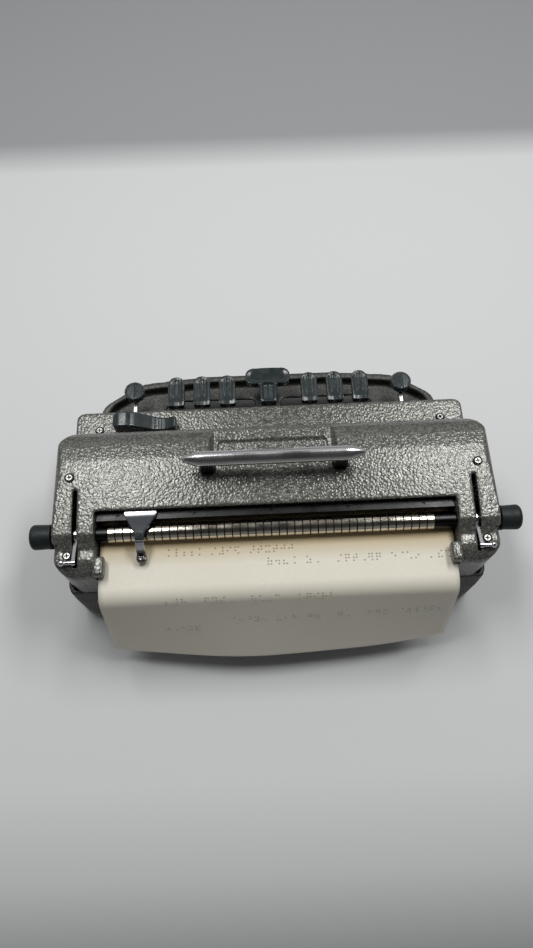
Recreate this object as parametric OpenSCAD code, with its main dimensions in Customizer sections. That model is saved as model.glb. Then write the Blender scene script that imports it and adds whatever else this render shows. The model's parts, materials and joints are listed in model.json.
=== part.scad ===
// Manual braille writer: six dot keys, a space key and two round keys press levers that lift
// bars under a travelling carriage, which embosses paper held on a drum by a ringed feed roller.
// X points to the writer's right, Y to the back, Z up. Z = 0 is the table, Y = 0 the middle.
// Lengths are millimetres and angles degrees.

/* [Cover] */
// Overall width of the cover and of the base below it
body_w = 366; // [356:1:380]
// Wall of the castings
wall = 3.2; // [2.8:0.1:3.6]
// Plan radius of the upright corners
corner_r = 20; // [14:1:24]
// Radius of the cover's front corners in plan
cover_corner_r = 26; // [20:1:28]
// How far the cover's sides stand in from the base's
cover_draw = 1.4; // [0.5:0.1:1.6]
// Radius along the long outer edges of the top
edge_r = 9; // [6:0.5:12]
// Radius where the front face turns into the top
brow_r = 24; // [16:1:28]
// Front face of the cover
cover_front_y = -43.5; // [-48:0.5:-41]
// Highest line of the cover
ridge_z = 131; // [130.5:0.5:136]
// Drop of the cover top from the ridge to the step behind the roller
top_drop = 7; // [5:0.5:7]
// Drop of the step between the high and the low part of each arm
step_drop = 7.5; // [5:0.5:8.5]
// Run of that step, front to back
step_run = 10; // [7:1:13]
// Height above the table at which the cover meets the base
seam_z = 58; // [52:1:60]
// Rear face of the cover
cover_rear_y = 86; // [86:0.5:92]
// Width of the arm on each side of the paper window
arm_w = 35.5; // [34.5:0.1:36]
// Front edge of the paper window
lip_y = 34.8; // [34.6:0.1:37]
// Finger recess ahead of the handle: width at the top
recess_w = 120; // [100:1:128]
// Finger recess: run of each sloped side wall
recess_slope = 10; // [6:1:14]
// Finger recess: floor depth below the ridge
recess_depth = 9; // [7:0.5:10]
// Finger recess: rear wall
recess_rear_y = -13; // [-18:1:-8]
// Finger recess: front edge of the deeper pocket in its floor
pocket_front_y = -26; // [-29:0.5:-22]
// Finger recess: depth of that pocket
pocket_drop = 2; // [1:0.5:3]

/* [Base] */
// Rear edge of the base at its foot
base_rear_y = 93.5; // [91:0.5:100]
// Thickness of the base floor
floor_t = 3.5; // [3:0.5:5]
// Height of the rubber feet
foot_h = 8; // [6:0.5:9]
// Radius of a rubber foot
foot_r = 9; // [7:0.5:11]
// Plan line where the key deck meets the main base
deck_y = -81.5; // [-84:0.5:-79]
// Front edge of the key deck
deck_front_y = -139.5; // [-145:0.5:-138]
// Height of the rim round the key deck
rim_z = 40; // [36:0.5:42]
// Width of that rim
rim_w = 7; // [5:0.5:9]
// Height of the deck plate
deck_z = 30; // [26:0.5:32]
// How far the shelf panel stands in from the cover's sides
panel_inset = 3; // [2:0.5:6]
// Height of the shelf
shelf_z = 78; // [76:0.5:78.2]
// Gap between the shelf and the cover's front edge, where the carriage lever comes out
lever_gap = 4; // [3.6:0.1:5]

/* [Paper feed] */
// Distance of the roller axis behind the middle
roller_y = 50.5; // [50:0.5:51]
// Height of the roller axis
roller_z = 112; // [111:0.25:112.5]
// Radius of the ringed feed roller
roller_r = 8; // [7.5:0.1:8]
// Pitch of the rings
ring_pitch = 6.35; // [5:0.05:7]
// Plain length of the roller beyond the rings, at each end
ring_margin = 12; // [9:0.5:30]
// Depth of the grooves between rings
ring_depth = 0.9; // [0.4:0.1:1.5]
// Gap between the roller and the drum, in which the sheet runs
nip_gap = 0.8; // [0.7:0.05:1.2]
// Radius of the paper drum
drum_r = 16; // [14:0.5:16.2]
// Thickness of the drum's tube
drum_skin = 2; // [1.5:0.1:3]
// Radius of the shafts of the roller and the drum
shaft_r = 4; // [3.5:0.1:4.5]
// Radius of the feed knobs
knob_r = 10.5; // [9:0.5:12]
// Length of a feed knob
knob_len = 16; // [12:0.5:22]
// Gap between the sheet of paper and each side of the window
sheet_gap = 1.5; // [1:0.5:10]
// Thickness of the sheet
sheet_t = 0.5; // [0.4:0.05:0.55]
// Distance behind the roller at which the sheet bends down
sheet_run = 52; // [49:0.5:54]
// Distance behind that bend that the sheet's end reaches
sheet_reach = 36.8; // [30:0.1:38]
// Height of the sheet's end above the table
sheet_end_z = 30; // [20:0.5:40]
// Radius of the pressure roller
press_r = 5; // [4:0.1:5.5]

/* [Keys] */
// Spacing of the dot keys
key_pitch = 24.8; // [22:0.1:26]
// Distance of the innermost dot keys from the middle
key_first_x = 40; // [37:0.5:43]
// Width of a dot key
key_w = 16; // [13:0.5:18]
// Length of a dot key
key_len = 31.5; // [28:0.5:34]
// Thickness of the key caps
key_t = 8; // [6:0.5:9]
// Height of the top of the key caps at rest
key_top_z = 63; // [60:0.5:65]
// Nearest edge of the dot keys to the shelf
key_rear_y = -94.5; // [-96:0.5:-91]
// Depth of the finger hollow in a key
key_dish = 1.6; // [0.8:0.1:2.2]
// Width of the space key's wing
space_w = 44; // [38:0.5:50]
// Length of the space key's wing, front to back
space_wing = 17.4; // [15:0.1:20]
// Front edge of the space key
space_front_y = -132.5; // [-134:0.5:-131]
// Distance of the round keys from the line of the window's side
round_inset = 17.5; // [14:0.5:20]
// Place of the round keys, front to back
round_y = -112; // [-113:0.5:-106]
// Radius of the round keys
round_r = 10; // [8:0.5:11]
// Thickness of a key lever
lever_t = 3; // [2.4:0.1:3.4]
// Height of a key lever's section
lever_h = 7; // [6:0.25:8]
// Angle through which a pressed key turns its lever
key_angle = 3.2; // [2.6:0.1:3.3]

/* [Levers and dot bars] */
// Place of the key shaft, front to back
key_shaft_y = 20; // [18:0.5:24]
// Height of the key shaft
key_shaft_z = 33; // [32.5:0.25:33.5]
// Radius of the key shaft
key_shaft_r = 4; // [3.5:0.1:4.5]
// Radius of the round eye of a key lever
lever_eye_r = 7; // [6.5:0.1:7.5]
// Spacing of the six dot bars
bar_pitch = 1.25; // [1.2:0.01:1.3]
// Thickness of a dot bar
bar_t = 0.9; // [0.7:0.05:0.95]
// Height of a dot bar
bar_h = 8; // [6:0.25:8.25]
// Radius of an embossing pin
pin_r = 0.5; // [0.4:0.05:0.55]
// Spacing of the two columns of pins
pin_gap = 2.5; // [2.2:0.1:2.8]

/* [Carriage] */
// Distance of the resting carriage from the right side of the window
carriage_inset = 36.9; // [34:0.1:46]
// Width of the carriage frame
carriage_w = 20; // [16:0.5:22]
// Underside of the carriage frame
carriage_z = 45; // [44.8:0.1:46]
// Height of the carriage's lower arm
lower_arm_h = 12; // [10:0.5:13]
// Front face of the carriage frame
carriage_front_y = -34; // [-35:0.25:-33]
// Depth of the carriage's upright
upright_d = 16; // [13:0.5:17]
// Height of the carriage's upper arm
upper_arm_h = 9; // [7:0.25:9]
// Radius of the carriage rails
rail_r = 3.5; // [2.5:0.1:4]
// Thickness of the embossing finger over the roller
finger_t = 2.4; // [2:0.1:2.4]
// Width of the embossing finger at the guide bar
finger_w = 27; // [22:0.5:30]
// Width of the finger's neck
finger_neck_w = 7; // [6:0.5:9]
// Radius of the finger's round tip
finger_tip_r = 4.2; // [3.6:0.1:4.8]
// Length of the carriage lever
grip_len = 58; // [50:0.5:62]
// Depth of the carriage lever at its thick end
grip_d = 15; // [13:0.5:17]
// Height of the carriage lever at its thick end
grip_h = 16; // [13:0.5:18]
// Gap between the cover and the carriage lever
grip_gap = 13.5; // [12:0.5:15]
// Shift of the lever's middle from the carriage's, toward its thick end
grip_shift = 4.3; // [2:0.1:6]

/* [Handle] */
// Length of the carrying handle's bar
handle_len = 147; // [130:1:160]
// Width of the bar, front to back
handle_w = 13; // [10:0.5:15]
// Thickness of the bar
handle_t = 8; // [6:0.5:9]
// Gap under the bar when it is pushed down
handle_gap = 3; // [2:0.5:5]
// Place of the bar, front to back
handle_y = 4; // [3:0.5:6]
// Distance of each post from the middle
post_x = 54.5; // [48:0.5:60]
// Width of a post along the bar
post_w = 10.6; // [8:0.2:12]
// Depth of a post across the bar
post_d = 7; // [5:0.5:8]
// Width of the notch in the bar's front lip
notch_w = 27; // [20:1:32]
// Travel of the handle
handle_travel = 15; // [12:0.5:16]

/* [Release levers and fasteners] */
// Distance of the release slots from the cover's sides
slot_inset = 19.7; // [18:0.1:20]
// Width of the release slots
slot_w = 3.4; // [3.2:0.1:4]
// Reach of a release slot ahead of the roller axis
slot_ahead = 34; // [32:0.5:35]
// Reach of a release slot behind the roller axis
slot_behind = 28; // [27.7:0.1:28.5]
// Radius from the roller axis to a release lever's pin
release_r = 25.5; // [25.2:0.1:25.8]
// Height of that pin above the roller axis at rest
release_rise = 6.5; // [6.2:0.1:8]
// Thickness of a release lever
release_t = 2.6; // [2:0.1:2.6]
// Radius of the ball on a release lever
ball_r = 2.6; // [2.2:0.1:2.8]
// Radius of a cover screw's head
screw_r = 3.1; // [2.5:0.1:3.5]
// Running clearance of a shaft in its hole
run_gap = 0.08; // [0.05:0.01:0.1]
// Clearance between parts that move past each other
move_gap = 0.3; // [0.3:0.02:0.4]

/* [Hidden] */
$fn = 48;

// Finishes
enamel = [0.46, 0.47, 0.45];
plastic = [0.13, 0.17, 0.17];
steel = [0.72, 0.73, 0.74];
dark_steel = [0.22, 0.24, 0.27];
chrome = [0.85, 0.86, 0.88];
brass = [0.78, 0.62, 0.30];
rubber = [0.10, 0.10, 0.10];
paper = [0.93, 0.90, 0.80];

// Small working values
eps = 0.01;
far = 300;
arc_step = 15;

// Cover profile
half_w = body_w / 2;
window_half_w = half_w - arm_w;
panel_half_w = half_w - panel_inset;
deck_half_w = half_w - 15;
ridge_y = -1.5;
step_y = 54;
step_z = ridge_z - top_drop;
low_z = step_z - step_drop;
ramp = top_drop / (step_y - ridge_y);
brow_z = ridge_z - 5;
rear_lean = 1.5;
rear_r = 16;
side_clip_y = step_y + step_run / 2;

// Frames, floor and seats
floor_z = foot_h + floor_t;
frame_x = window_half_w + wall + 0.5;
frame_t = 3;
frame_out = frame_x + frame_t;
knob_x = half_w + 1.5;

// Paper feed
sheet_z = roller_z - roller_r - nip_gap / 2;
drum_z = roller_z - roller_r - nip_gap - drum_r;
press_y = roller_y - drum_r - nip_gap - press_r;
press_shaft_r = 3;
press_drop = 1.5;
drum_half = window_half_w - 1.5;
apron_z = sheet_z - 3.1;
bend_r = 15;
ring_count = floor(2 * (drum_half - ring_margin) / ring_pitch);
ring_half = ring_count * ring_pitch / 2;
ring_shift = 3.9;
sheet_w = 2 * (window_half_w - sheet_gap);

// Keys and levers
key_under_z = key_top_z - key_t;
round_x = window_half_w - round_inset;
lever_low_z = key_shaft_z - 6;
lever_bend_y = deck_y + 3.5;
lever_slope = 18;
bar_z = key_shaft_z;
bar_top_z = bar_z + bar_h;
bar_half = frame_out + 3;
nub_h = 3.7;
nub_w = 0.6;
tail_z = bar_z - nub_h;
plain_tail_y = 62;
key_x = [-key_first_x, -key_first_x - key_pitch, -key_first_x - 2 * key_pitch,
         key_first_x, key_first_x + key_pitch, key_first_x + 2 * key_pitch];

// Carriage
carriage_x = window_half_w - carriage_inset;
tip_y = 71.3;
block_d = 8.6;
block_front_y = tip_y - block_d / 2;
block_rear_y = tip_y + block_d / 2;
block_top_z = sheet_z - 2.6;
pin_top_z = block_top_z - 1.8;
upright_rear_y = carriage_front_y + upright_d;
upper_arm_z = 92;
pad_z = roller_z + roller_r + 0.3;
pad_y = 20;
rail_y = carriage_front_y + upright_d / 2;
rail_z = [carriage_z + lower_arm_h / 2, upper_arm_z + 2];
grip_pin_y = carriage_front_y - 3.5;
grip_pin_r = 1.5;
grip_z = shelf_z + move_gap;
grip_rear_y = cover_front_y - grip_gap;
grip_neck_t = 2.8;
grip_boss_w = 16;
cord_z = 71;
cord_r = 0.6;
spool_r = 9.5;
spool_x = frame_out + spool_r + 2;

// Margin stops, mainspring, bell and hammer
margin_rod_r = 2.5;
margin_stop_x = window_half_w - 15.5;
margin_y = -14;
margin_z = upper_arm_z + upper_arm_h + 6;
spool_y = rail_y;
spool_z = cord_z - spool_r - cord_r;
stud_r = 2.5;
bell_x = frame_out + 3;
bell_y = 58;
bell_z = 34;
bell_r = 15;
hammer_y = 30;
hammer_pin_r = 1.5;
bar_rise = (tip_y + 2.5 * bar_pitch - key_shaft_y) * key_angle * PI / 180;

// Handle
handle_top_z = ridge_z + handle_gap + handle_travel + handle_t;
post_top_z = handle_top_z - handle_t;
collar_top_z = top_at(handle_y) - wall - 1.6;
collar_t = 3;

// Feet
foot_y = [-118, 70];

// Screws, as [x, y, z of the seat]
cover_screw_at = [[half_w - 15, 6.5, top_at(6.5)], [half_w - 13.7, 69, low_z]];
panel_screw_at = [half_w - 25, -62.5, shelf_z];
rear_screw_at = [half_w - 26, 45];

// Release levers
slot_x = half_w - slot_inset;
ball_x = half_w - 10;

// Dot bars and pins: dot 1 of the cell is the rearmost of the first column
function bar_slot(dot) = dot <= 3 ? 2 * (dot - 1) : 2 * (dot - 4) + 1;
function bar_y(dot) = tip_y - (bar_slot(dot) - 2.5) * bar_pitch;
function pin_x(dot) = carriage_x + (dot <= 3 ? -pin_gap / 2 : pin_gap / 2);

// Distance of a foot from the middle
function foot_x(y) = half_w - (y < 0 ? 55 : 23);

// Height of the cover's top at a place behind the ridge
function top_at(y) = ridge_z - max(0, y - ridge_y) * ramp;

// Arc that rounds corner p between its neighbours a and b
function corner(p, a, b, r) =
    let (u = (a - p) / norm(a - p), w = (b - p) / norm(b - p),
         half = acos(u * w) / 2,
         c = p + (u + w) / norm(u + w) * r / sin(half),
         s = p + u * r / tan(half) - c,
         e = p + w * r / tan(half) - c,
         from = atan2(s.y, s.x),
         turn = (atan2(e.y, e.x) - from + 540) % 360 - 180,
         n = max(1, ceil(abs(turn) / arc_step)))
    [for (i = [0:n]) c + r * [cos(from + turn * i / n), sin(from + turn * i / n)]];

// Closed outline from points [x, y, corner radius]
function rounded(pts) =
    let (n = len(pts))
    [for (i = [0:n - 1])
        let (p = pts[i], a = pts[(i + n - 1) % n], b = pts[(i + 1) % n])
        each (p[2] > 0 ? corner([p.x, p.y], [a.x, a.y], [b.x, b.y], p[2]) : [[p.x, p.y]])];

// Points of a half outline followed by their mirror image in X
function both_sides(half) =
    concat(half, [for (i = [len(half) - 1:-1:0]) [-half[i].x, half[i].y, half[i][2]]]);

// Extrudes a (Y, Z) drawing from x0 to x1
module along_x(x0, x1) {
    translate([x0, 0, 0]) rotate([90, 0, 90]) linear_extrude(x1 - x0) children();
}

// Extrudes an (X, Z) drawing from y0 to y1
module along_y(y0, y1) {
    translate([0, y1, 0]) rotate([90, 0, 0]) linear_extrude(y1 - y0) children();
}

// Box between two corners
module block(a, b) {
    translate(a) cube(b - a);
}

// Shaft or bore of radius r along X
module shaft_x(r, x0, x1, y, z) {
    translate([x0, y, z]) rotate([0, 90, 0]) cylinder(r = r, h = x1 - x0);
}

// Both a child and its mirror image in X
module pair() {
    children();
    mirror([1, 0, 0]) children();
}

// Pan-head screw whose seat is at z = 0, with a cross recess
module screw(head_r, shank) {
    difference() {
        union() {
            cylinder(r1 = head_r, r2 = head_r * 0.8, h = 1.8);
            translate([0, 0, -shank]) cylinder(r = head_r * 0.5, h = shank);
        }
        for (a = [0, 90]) rotate(a) translate([-head_r * 0.55, -0.4, 1]) cube([head_r * 1.1, 0.8, 1]);
    }
}

// ---- Casings ----

// Side view of the cover, drawn in by i
function cover_side(i) = rounded([
    [cover_front_y + i, seam_z - (i > 0 ? 2 : 0), 0],
    [cover_front_y + i, brow_z - i, brow_r - i],
    [ridge_y, ridge_z - i, 60],
    [step_y, step_z - i, 5],
    [step_y + step_run, low_z - i, 5 + i],
    [cover_rear_y - i, low_z - i, rear_r - i],
    [cover_rear_y - rear_lean - i, seam_z - (i > 0 ? 2 : 0), 0]
]);

// Front view of the cover with its top at z, drawn in by i
function cover_front(i, z) = rounded(both_sides([
    [half_w - max(i, cover_draw), seam_z - 4, 0],
    [half_w - max(i, cover_draw), z - i, edge_r - i * 0.8]
]));

// Plan of the cover, drawn in by i
function cover_plan(i) = rounded(both_sides([
    [half_w - max(i, cover_draw), cover_front_y + i, cover_corner_r - i],
    [half_w - max(i, cover_draw), cover_rear_y - i, corner_r - i]
]));

// Solid form of the cover, drawn in by i
module cover_form(i) {
    intersection() {
        along_x(-half_w - 1, half_w + 1) polygon(cover_side(i));
        union() {
            along_y(cover_front_y - 1, side_clip_y) polygon(cover_front(i, ridge_z));
            along_y(side_clip_y, cover_rear_y + 1) polygon(cover_front(i, low_z + 2));
        }
        translate([0, 0, seam_z - 4]) linear_extrude(ridge_z) polygon(cover_plan(i));
    }
}

// Finger recess ahead of the handle, grown by i
module recess_form(i) {
    top = recess_w / 2 + i;
    foot = top - recess_slope;
    z = ridge_z - recess_depth - i;
    along_y(cover_front_y - 20, recess_rear_y + i)
        polygon([[-foot, z], [foot, z], [top, z + recess_depth + 8], [-top, z + recess_depth + 8]]);
    translate([0, 0, z - pocket_drop]) linear_extrude(pocket_drop + 1) polygon(rounded(both_sides([
        [foot - 3, pocket_front_y - i, 5], [foot - 3, recess_rear_y + i, 0]
    ])));
}

module top_cover() {
    color(enamel) difference() {
        cover_form(0);
        difference() {
            cover_form(wall);
            recess_form(wall);
            // Inner side walls of the arms
            pair() block([window_half_w, lip_y, seam_z - 5], [window_half_w + wall, far, far]);
        }
        recess_form(0);
        // Paper window, which leaves the rear wall as an apron under the sheet
        block([-window_half_w, lip_y, apron_z], [window_half_w, far, far]);
        // The front stands clear of the shelf
        block([-far, cover_front_y - 1, 0], [far, cover_front_y + corner_r + 2, shelf_z + lever_gap]);
        pair() {
            block([slot_x - slot_w / 2, roller_y - slot_ahead, 90],
                  [slot_x + slot_w / 2, roller_y + slot_behind, far]);
            shaft_x(shaft_r + move_gap, window_half_w - 1, half_w + 1, roller_y, roller_z);
            // Slot that drops over the drum's shaft
            shaft_x(shaft_r + move_gap, window_half_w - 1, frame_x - eps, roller_y, drum_z);
            block([window_half_w - 1, roller_y - shaft_r - move_gap, seam_z - 5],
                  [frame_x - eps, roller_y + shaft_r + move_gap, drum_z]);
            translate([post_x, handle_y, 0]) block(
                [-post_w / 2 - move_gap, -post_d / 2 - move_gap, 100],
                [post_w / 2 + move_gap, post_d / 2 + move_gap, 200]);
            for (p = cover_screw_at) translate(p) {
                translate([0, 0, -0.6]) cylinder(r = screw_r + 0.5, h = 10);
                translate([0, 0, -10]) cylinder(r = screw_r * 0.5 + 0.1, h = 11);
            }
        }
    }
}

// Plan of the main base, drawn in by i
function base_plan(i) = rounded(both_sides([
    [panel_half_w - i, deck_y + i, 4],
    [panel_half_w - i, cover_front_y + corner_r, 0],
    [half_w - i, cover_front_y + corner_r + 3, 0],
    [half_w - i, base_rear_y - i, corner_r]
]));

// Side view of the main base, drawn in by i, from z0 up
function base_side(i, z0) = [
    [deck_y + i, z0], [deck_y + i, seam_z], [cover_rear_y - rear_lean - i, seam_z],
    [cover_rear_y - rear_lean + 5 - i, seam_z - 18], [base_rear_y - i, foot_h + 6], [base_rear_y - 2 - i, z0]
];

// Plan of the key deck, drawn in by i
function deck_plan(i) = rounded(both_sides([
    [deck_half_w - 106 - i * 0.1, deck_front_y + i, 60],
    [deck_half_w - 40 - i * 0.5, deck_front_y + 6 + i, 30],
    [deck_half_w - 2 - i, deck_front_y + 31, 18],
    [deck_half_w - i, deck_y + eps, 0]
]));

module deck_layer(i, z0, z1) {
    translate([0, 0, z0]) linear_extrude(z1 - z0) polygon(deck_plan(i));
}

module base_casting() {
    window_rear = deck_y - 4;
    window_front = window_rear - 31;
    window_side = deck_half_w - 64;
    pedestal = 9;
    color(enamel) difference() {
        union() {
            difference() {
                intersection() {
                    along_x(-half_w, half_w) polygon(base_side(0, foot_h));
                    linear_extrude(seam_z + 1) polygon(base_plan(0));
                }
                intersection() {
                    along_x(-half_w, half_w) polygon(base_side(wall, floor_z));
                    linear_extrude(far) polygon(base_plan(wall));
                }
                // Opening along the front, through which the levers reach the keys
                block([-window_half_w, deck_y - 1, deck_z], [window_half_w, deck_y + wall + 1, far]);
                block([-far, deck_y - 1, seam_z - eps], [far, far, far]);
            }
            difference() {
                deck_layer(0, foot_h, rim_z);
                deck_layer(rim_w, deck_z, rim_z + 1);
                difference() {
                    deck_layer(wall, foot_h - 1, deck_z - wall);
                    block([-far, deck_y - wall, 0], [far, far, far]);
                    // Pedestal between the two windows, under the space key
                    block([-pedestal, deck_front_y, 0], [pedestal, deck_y, far]);
                    pair() translate([foot_x(foot_y[0]), foot_y[0], 0]) cylinder(r = foot_r, h = far);
                }
                // Windows through the deck on both sides of the pedestal
                pair() translate([0, 0, foot_h - 1]) linear_extrude(far) polygon(rounded([
                    [pedestal + 4, window_front, 5], [window_side, window_front, 12],
                    [window_side, window_rear, 5], [pedestal + 4, window_rear, 5]
                ]));
            }
        }
        pair() {
            rear_screw_place() translate([0, 0, -12]) cylinder(r = screw_r * 0.5 + 0.1, h = 14);
            for (y = foot_y) translate([foot_x(y), y, foot_h - 1]) cylinder(r = 1.7, h = floor_t + 3);
        }
    }
}

// Places a screw square to the rear slope of the base
module rear_screw_place() {
    slope = atan2(base_rear_y - cover_rear_y + rear_lean - 5, seam_z - 18 - foot_h - 6);
    share = (seam_z - 18 - rear_screw_at.y) / (seam_z - 24 - foot_h);
    y = cover_rear_y - rear_lean + 5 + (base_rear_y - cover_rear_y + rear_lean - 5) * share;
    translate([rear_screw_at.x, y, rear_screw_at.y]) rotate([-90 + slope, 0, 0]) children();
}

module rubber_feet() {
    color(rubber) pair() for (y = foot_y) translate([foot_x(y), y, 0]) {
        difference() {
            cylinder(r1 = foot_r, r2 = foot_r - 1.5, h = foot_h);
            translate([0, 0, -1]) cylinder(r = foot_r * 0.4, h = 3);
        }
        translate([0, 0, foot_h - eps]) cylinder(r = 1.6, h = floor_t + 1);
    }
}

// Shelf over the key levers with its front wall and side cheeks
module front_panel() {
    plan_rear = cover_front_y + corner_r + 1.5;
    color(enamel) difference() {
        translate([0, 0, seam_z]) linear_extrude(shelf_z - seam_z) polygon(rounded(both_sides([
            [panel_half_w, deck_y, 7], [panel_half_w, plan_rear, 0]
        ])));
        translate([0, 0, seam_z - 1]) linear_extrude(shelf_z - seam_z - wall + 1)
            polygon(rounded(both_sides([
                [panel_half_w - wall, deck_y + wall, 4], [panel_half_w - wall, far, 0]
            ])));
        // The shelf ends just inside the cover's front wall
        block([-panel_half_w + wall, cover_front_y + wall - 0.7, 0], [panel_half_w - wall, far, far]);
        pair() translate(panel_screw_at) translate([0, 0, -10]) {
            cylinder(r = screw_r * 0.5 + 0.1, h = 20);
            translate([0, 0, 9.5]) cylinder(r = screw_r + 0.5, h = 10);
        }
    }
}

module cover_screws() {
    color(steel) pair() for (p = cover_screw_at) translate([p.x, p.y, p.z - 0.6]) screw(screw_r, 7);
}

module base_screws() {
    color(steel) pair() {
        translate([panel_screw_at.x, panel_screw_at.y, panel_screw_at.z - 0.5]) screw(screw_r, 7);
        rear_screw_place() screw(screw_r, 7);
    }
}

// ---- Fixed works ----

// Side plates that carry the shafts, rails and bars
module end_frames() {
    gap = run_gap;
    front = cover_front_y + 1.5;
    color(dark_steel) pair() difference() {
        union() {
            along_x(frame_x, frame_out) polygon(rounded([
                [front, floor_z, 0], [front, shelf_z - 8, 3], [front + 13, upper_arm_z + 12, 8],
                [-14, roller_z + 6, 6], [roller_y + shaft_r, roller_z + 6, 4],
                [roller_y + shaft_r + 6, roller_z - 4, 4], [tip_y + 3.5, roller_z - 8, 5],
                [tip_y + 3.5, floor_z, 0]
            ]));
            // Foot that stands on the base floor
            block([frame_x, front, floor_z], [frame_out + 9, front + 40, floor_z + 3]);
        }
        shaft_x(shaft_r + gap, frame_x - 1, frame_out + 1, roller_y, roller_z);
        shaft_x(shaft_r + gap, frame_x - 1, frame_out + 1, roller_y, drum_z);
        shaft_x(key_shaft_r + gap, frame_x - 1, frame_out + 1, key_shaft_y, key_shaft_z);
        for (z = rail_z) shaft_x(rail_r + gap, frame_x - 1, frame_out + 1, rail_y, z);
        shaft_x(margin_rod_r + gap, frame_x - 1, frame_out + 1, margin_y, margin_z);
        shaft_x(cord_r + 1, frame_x - 1, frame_out + 1, spool_y, cord_z);
        // Slot in which the pressure roller's shaft drops away from the drum
        block([frame_x - 1, press_y - press_shaft_r - press_drop - move_gap, drum_z - press_shaft_r - move_gap],
              [frame_out + 1, press_y + press_shaft_r + move_gap, drum_z + press_shaft_r + move_gap]);
        // Guide window for the ends of the dot bars
        block([frame_x - 1, bar_y(1) - 5 * bar_pitch - bar_t, bar_z - move_gap],
              [frame_out + 1, bar_y(1) + bar_pitch + bar_t, bar_top_z + bar_rise + move_gap + 0.3]);
    }
    // Studs for the spring drum, the bell and the hammer, on the right-hand plate
    color(dark_steel) {
        block([frame_out, spool_y - 4.5, spool_z - 4], [spool_x + 4, spool_y - 2.5, spool_z + 4]);
        translate([spool_x, spool_y + 4, spool_z]) rotate([90, 0, 0]) cylinder(r = stud_r, h = 7);
        shaft_x(stud_r, frame_out, bell_x + 1, bell_y, bell_z);
        shaft_x(hammer_pin_r, frame_out, bell_x + 3.5, hammer_y, bell_z);
    }
}

// Black bar behind the lip, along which the embossing finger is steered
module guide_bar() {
    pitch = (window_half_w - 22.5) / 2;
    color(dark_steel) difference() {
        block([-window_half_w, roller_y - roller_r - 7.3, roller_z - 4],
              [window_half_w, roller_y - roller_r - 1.1, pad_z - 0.7]);
        for (i = [-2:2]) translate([ring_shift + i * pitch, roller_y - roller_r - 4.2, pad_z - 1.7])
            cylinder(r = 1.6, h = 3);
    }
}

module carriage_rails() {
    color(steel) {
        for (z = rail_z) shaft_x(rail_r, -frame_out - 1, frame_out + 1, rail_y, z);
        shaft_x(margin_rod_r, -frame_out - 1, frame_out + 1, margin_y, margin_z);
    }
}

// Toothed bar that steps the carriage one cell at a time
module escapement_rack() {
    front = cover_front_y + 1.5;
    teeth = floor(2 * (frame_x - 8) / ring_pitch);
    start = -teeth * ring_pitch / 2;
    z = shelf_z - wall - 13;
    color(steel) translate([0, 0, z]) linear_extrude(7) polygon(concat(
        [[frame_x, front], [frame_x, front + 3], [-start, front + 3]],
        [for (i = [teeth - 1:-1:0]) each [[start + (i + 0.9) * ring_pitch, front + 6],
                                          [start + i * ring_pitch, front + 3]]],
        [[-frame_x, front + 3], [-frame_x, front]]
    ));
}

module key_shaft() {
    color(steel) shaft_x(key_shaft_r, -frame_out - 1, frame_out + 1, key_shaft_y, key_shaft_z);
}

// Torsion springs beside the levers, on the key shaft
module key_springs() {
    color(dark_steel) for (x = concat(key_x, [0, -round_x, round_x]))
        translate([x + lever_t / 2 + 0.4, key_shaft_y, key_shaft_z]) rotate([0, 90, 0]) difference() {
            cylinder(r = key_shaft_r + 1.9, h = 8);
            translate([0, 0, -1]) cylinder(r = key_shaft_r + 0.2, h = 10);
        }
}

module bell() {
    color(brass) translate([bell_x, bell_y, bell_z]) rotate([0, 90, 0]) rotate_extrude() polygon([
        [stud_r + run_gap, 0], [stud_r + 3, 0], [bell_r * 0.7, 2], [bell_r, 6], [bell_r, 8],
        [bell_r - 1.2, 8], [bell_r - 1.2, 6.4], [bell_r * 0.64, 3.2], [stud_r + 3, 1.4],
        [stud_r + run_gap, 1.4]
    ]);
}

module bell_hammer() {
    ball = 3;
    reach = bell_y - bell_r - ball - 0.6 - hammer_y;
    color(steel) translate([bell_x, hammer_y, bell_z]) difference() {
        union() {
            rotate([0, 90, 0]) cylinder(r = 3.2, h = 3);
            block([0.5, 0, -1], [2.5, reach, 1]);
            translate([3.5, reach, 0]) sphere(r = ball);
        }
        shaft_x(hammer_pin_r + run_gap, -1, 4, 0, 0);
    }
}

// ---- Keys ----

// Finger hollow along a key: a round groove of the key's dish depth
module dish(w, y0, y1, z) {
    r = (w * w / 4 + key_dish * key_dish) / (2 * key_dish);
    translate([0, y0, z + r - key_dish]) rotate([-90, 0, 0]) cylinder(r = r, h = y1 - y0, $fn = 120);
}

module dot_key(n) {
    front = key_rear_y - key_len;
    color(plastic) translate([key_x[n - 1], 0, 0]) difference() {
        translate([0, 0, key_under_z]) linear_extrude(key_t) polygon(rounded([
            [-key_w / 2, key_rear_y, 1.5], [-key_w / 2, front, key_w / 2 - 0.1],
            [key_w / 2, front, key_w / 2 - 0.1], [key_w / 2, key_rear_y, 1.5]
        ]));
        dish(key_w - 2.4, front + 2, key_rear_y + 1, key_top_z);
    }
}

module space_key() {
    wing_rear = space_front_y + space_wing;
    color(plastic) difference() {
        translate([0, 0, key_under_z]) linear_extrude(key_t) polygon(rounded(both_sides([
            [space_w / 2, space_front_y, space_wing * 0.48],
            [space_w / 2, wing_rear, space_wing * 0.45],
            [key_w / 2, wing_rear, 2],
            [key_w / 2, key_rear_y, 1.5]
        ])));
        dish(key_w - 3, space_front_y + space_wing * 0.6, key_rear_y + 1, key_top_z);
    }
}

module round_key(side) {
    color(plastic) translate([side * round_x, round_y, key_under_z]) {
        rotate_extrude() polygon([
            [0, 0], [round_r * 0.8, 0], [round_r, 2.5], [round_r, key_t],
            [round_r - 1, key_t + 1.6], [round_r * 0.6, key_t + 1.2], [0, key_t + 0.7]
        ]);
    }
}

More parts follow.
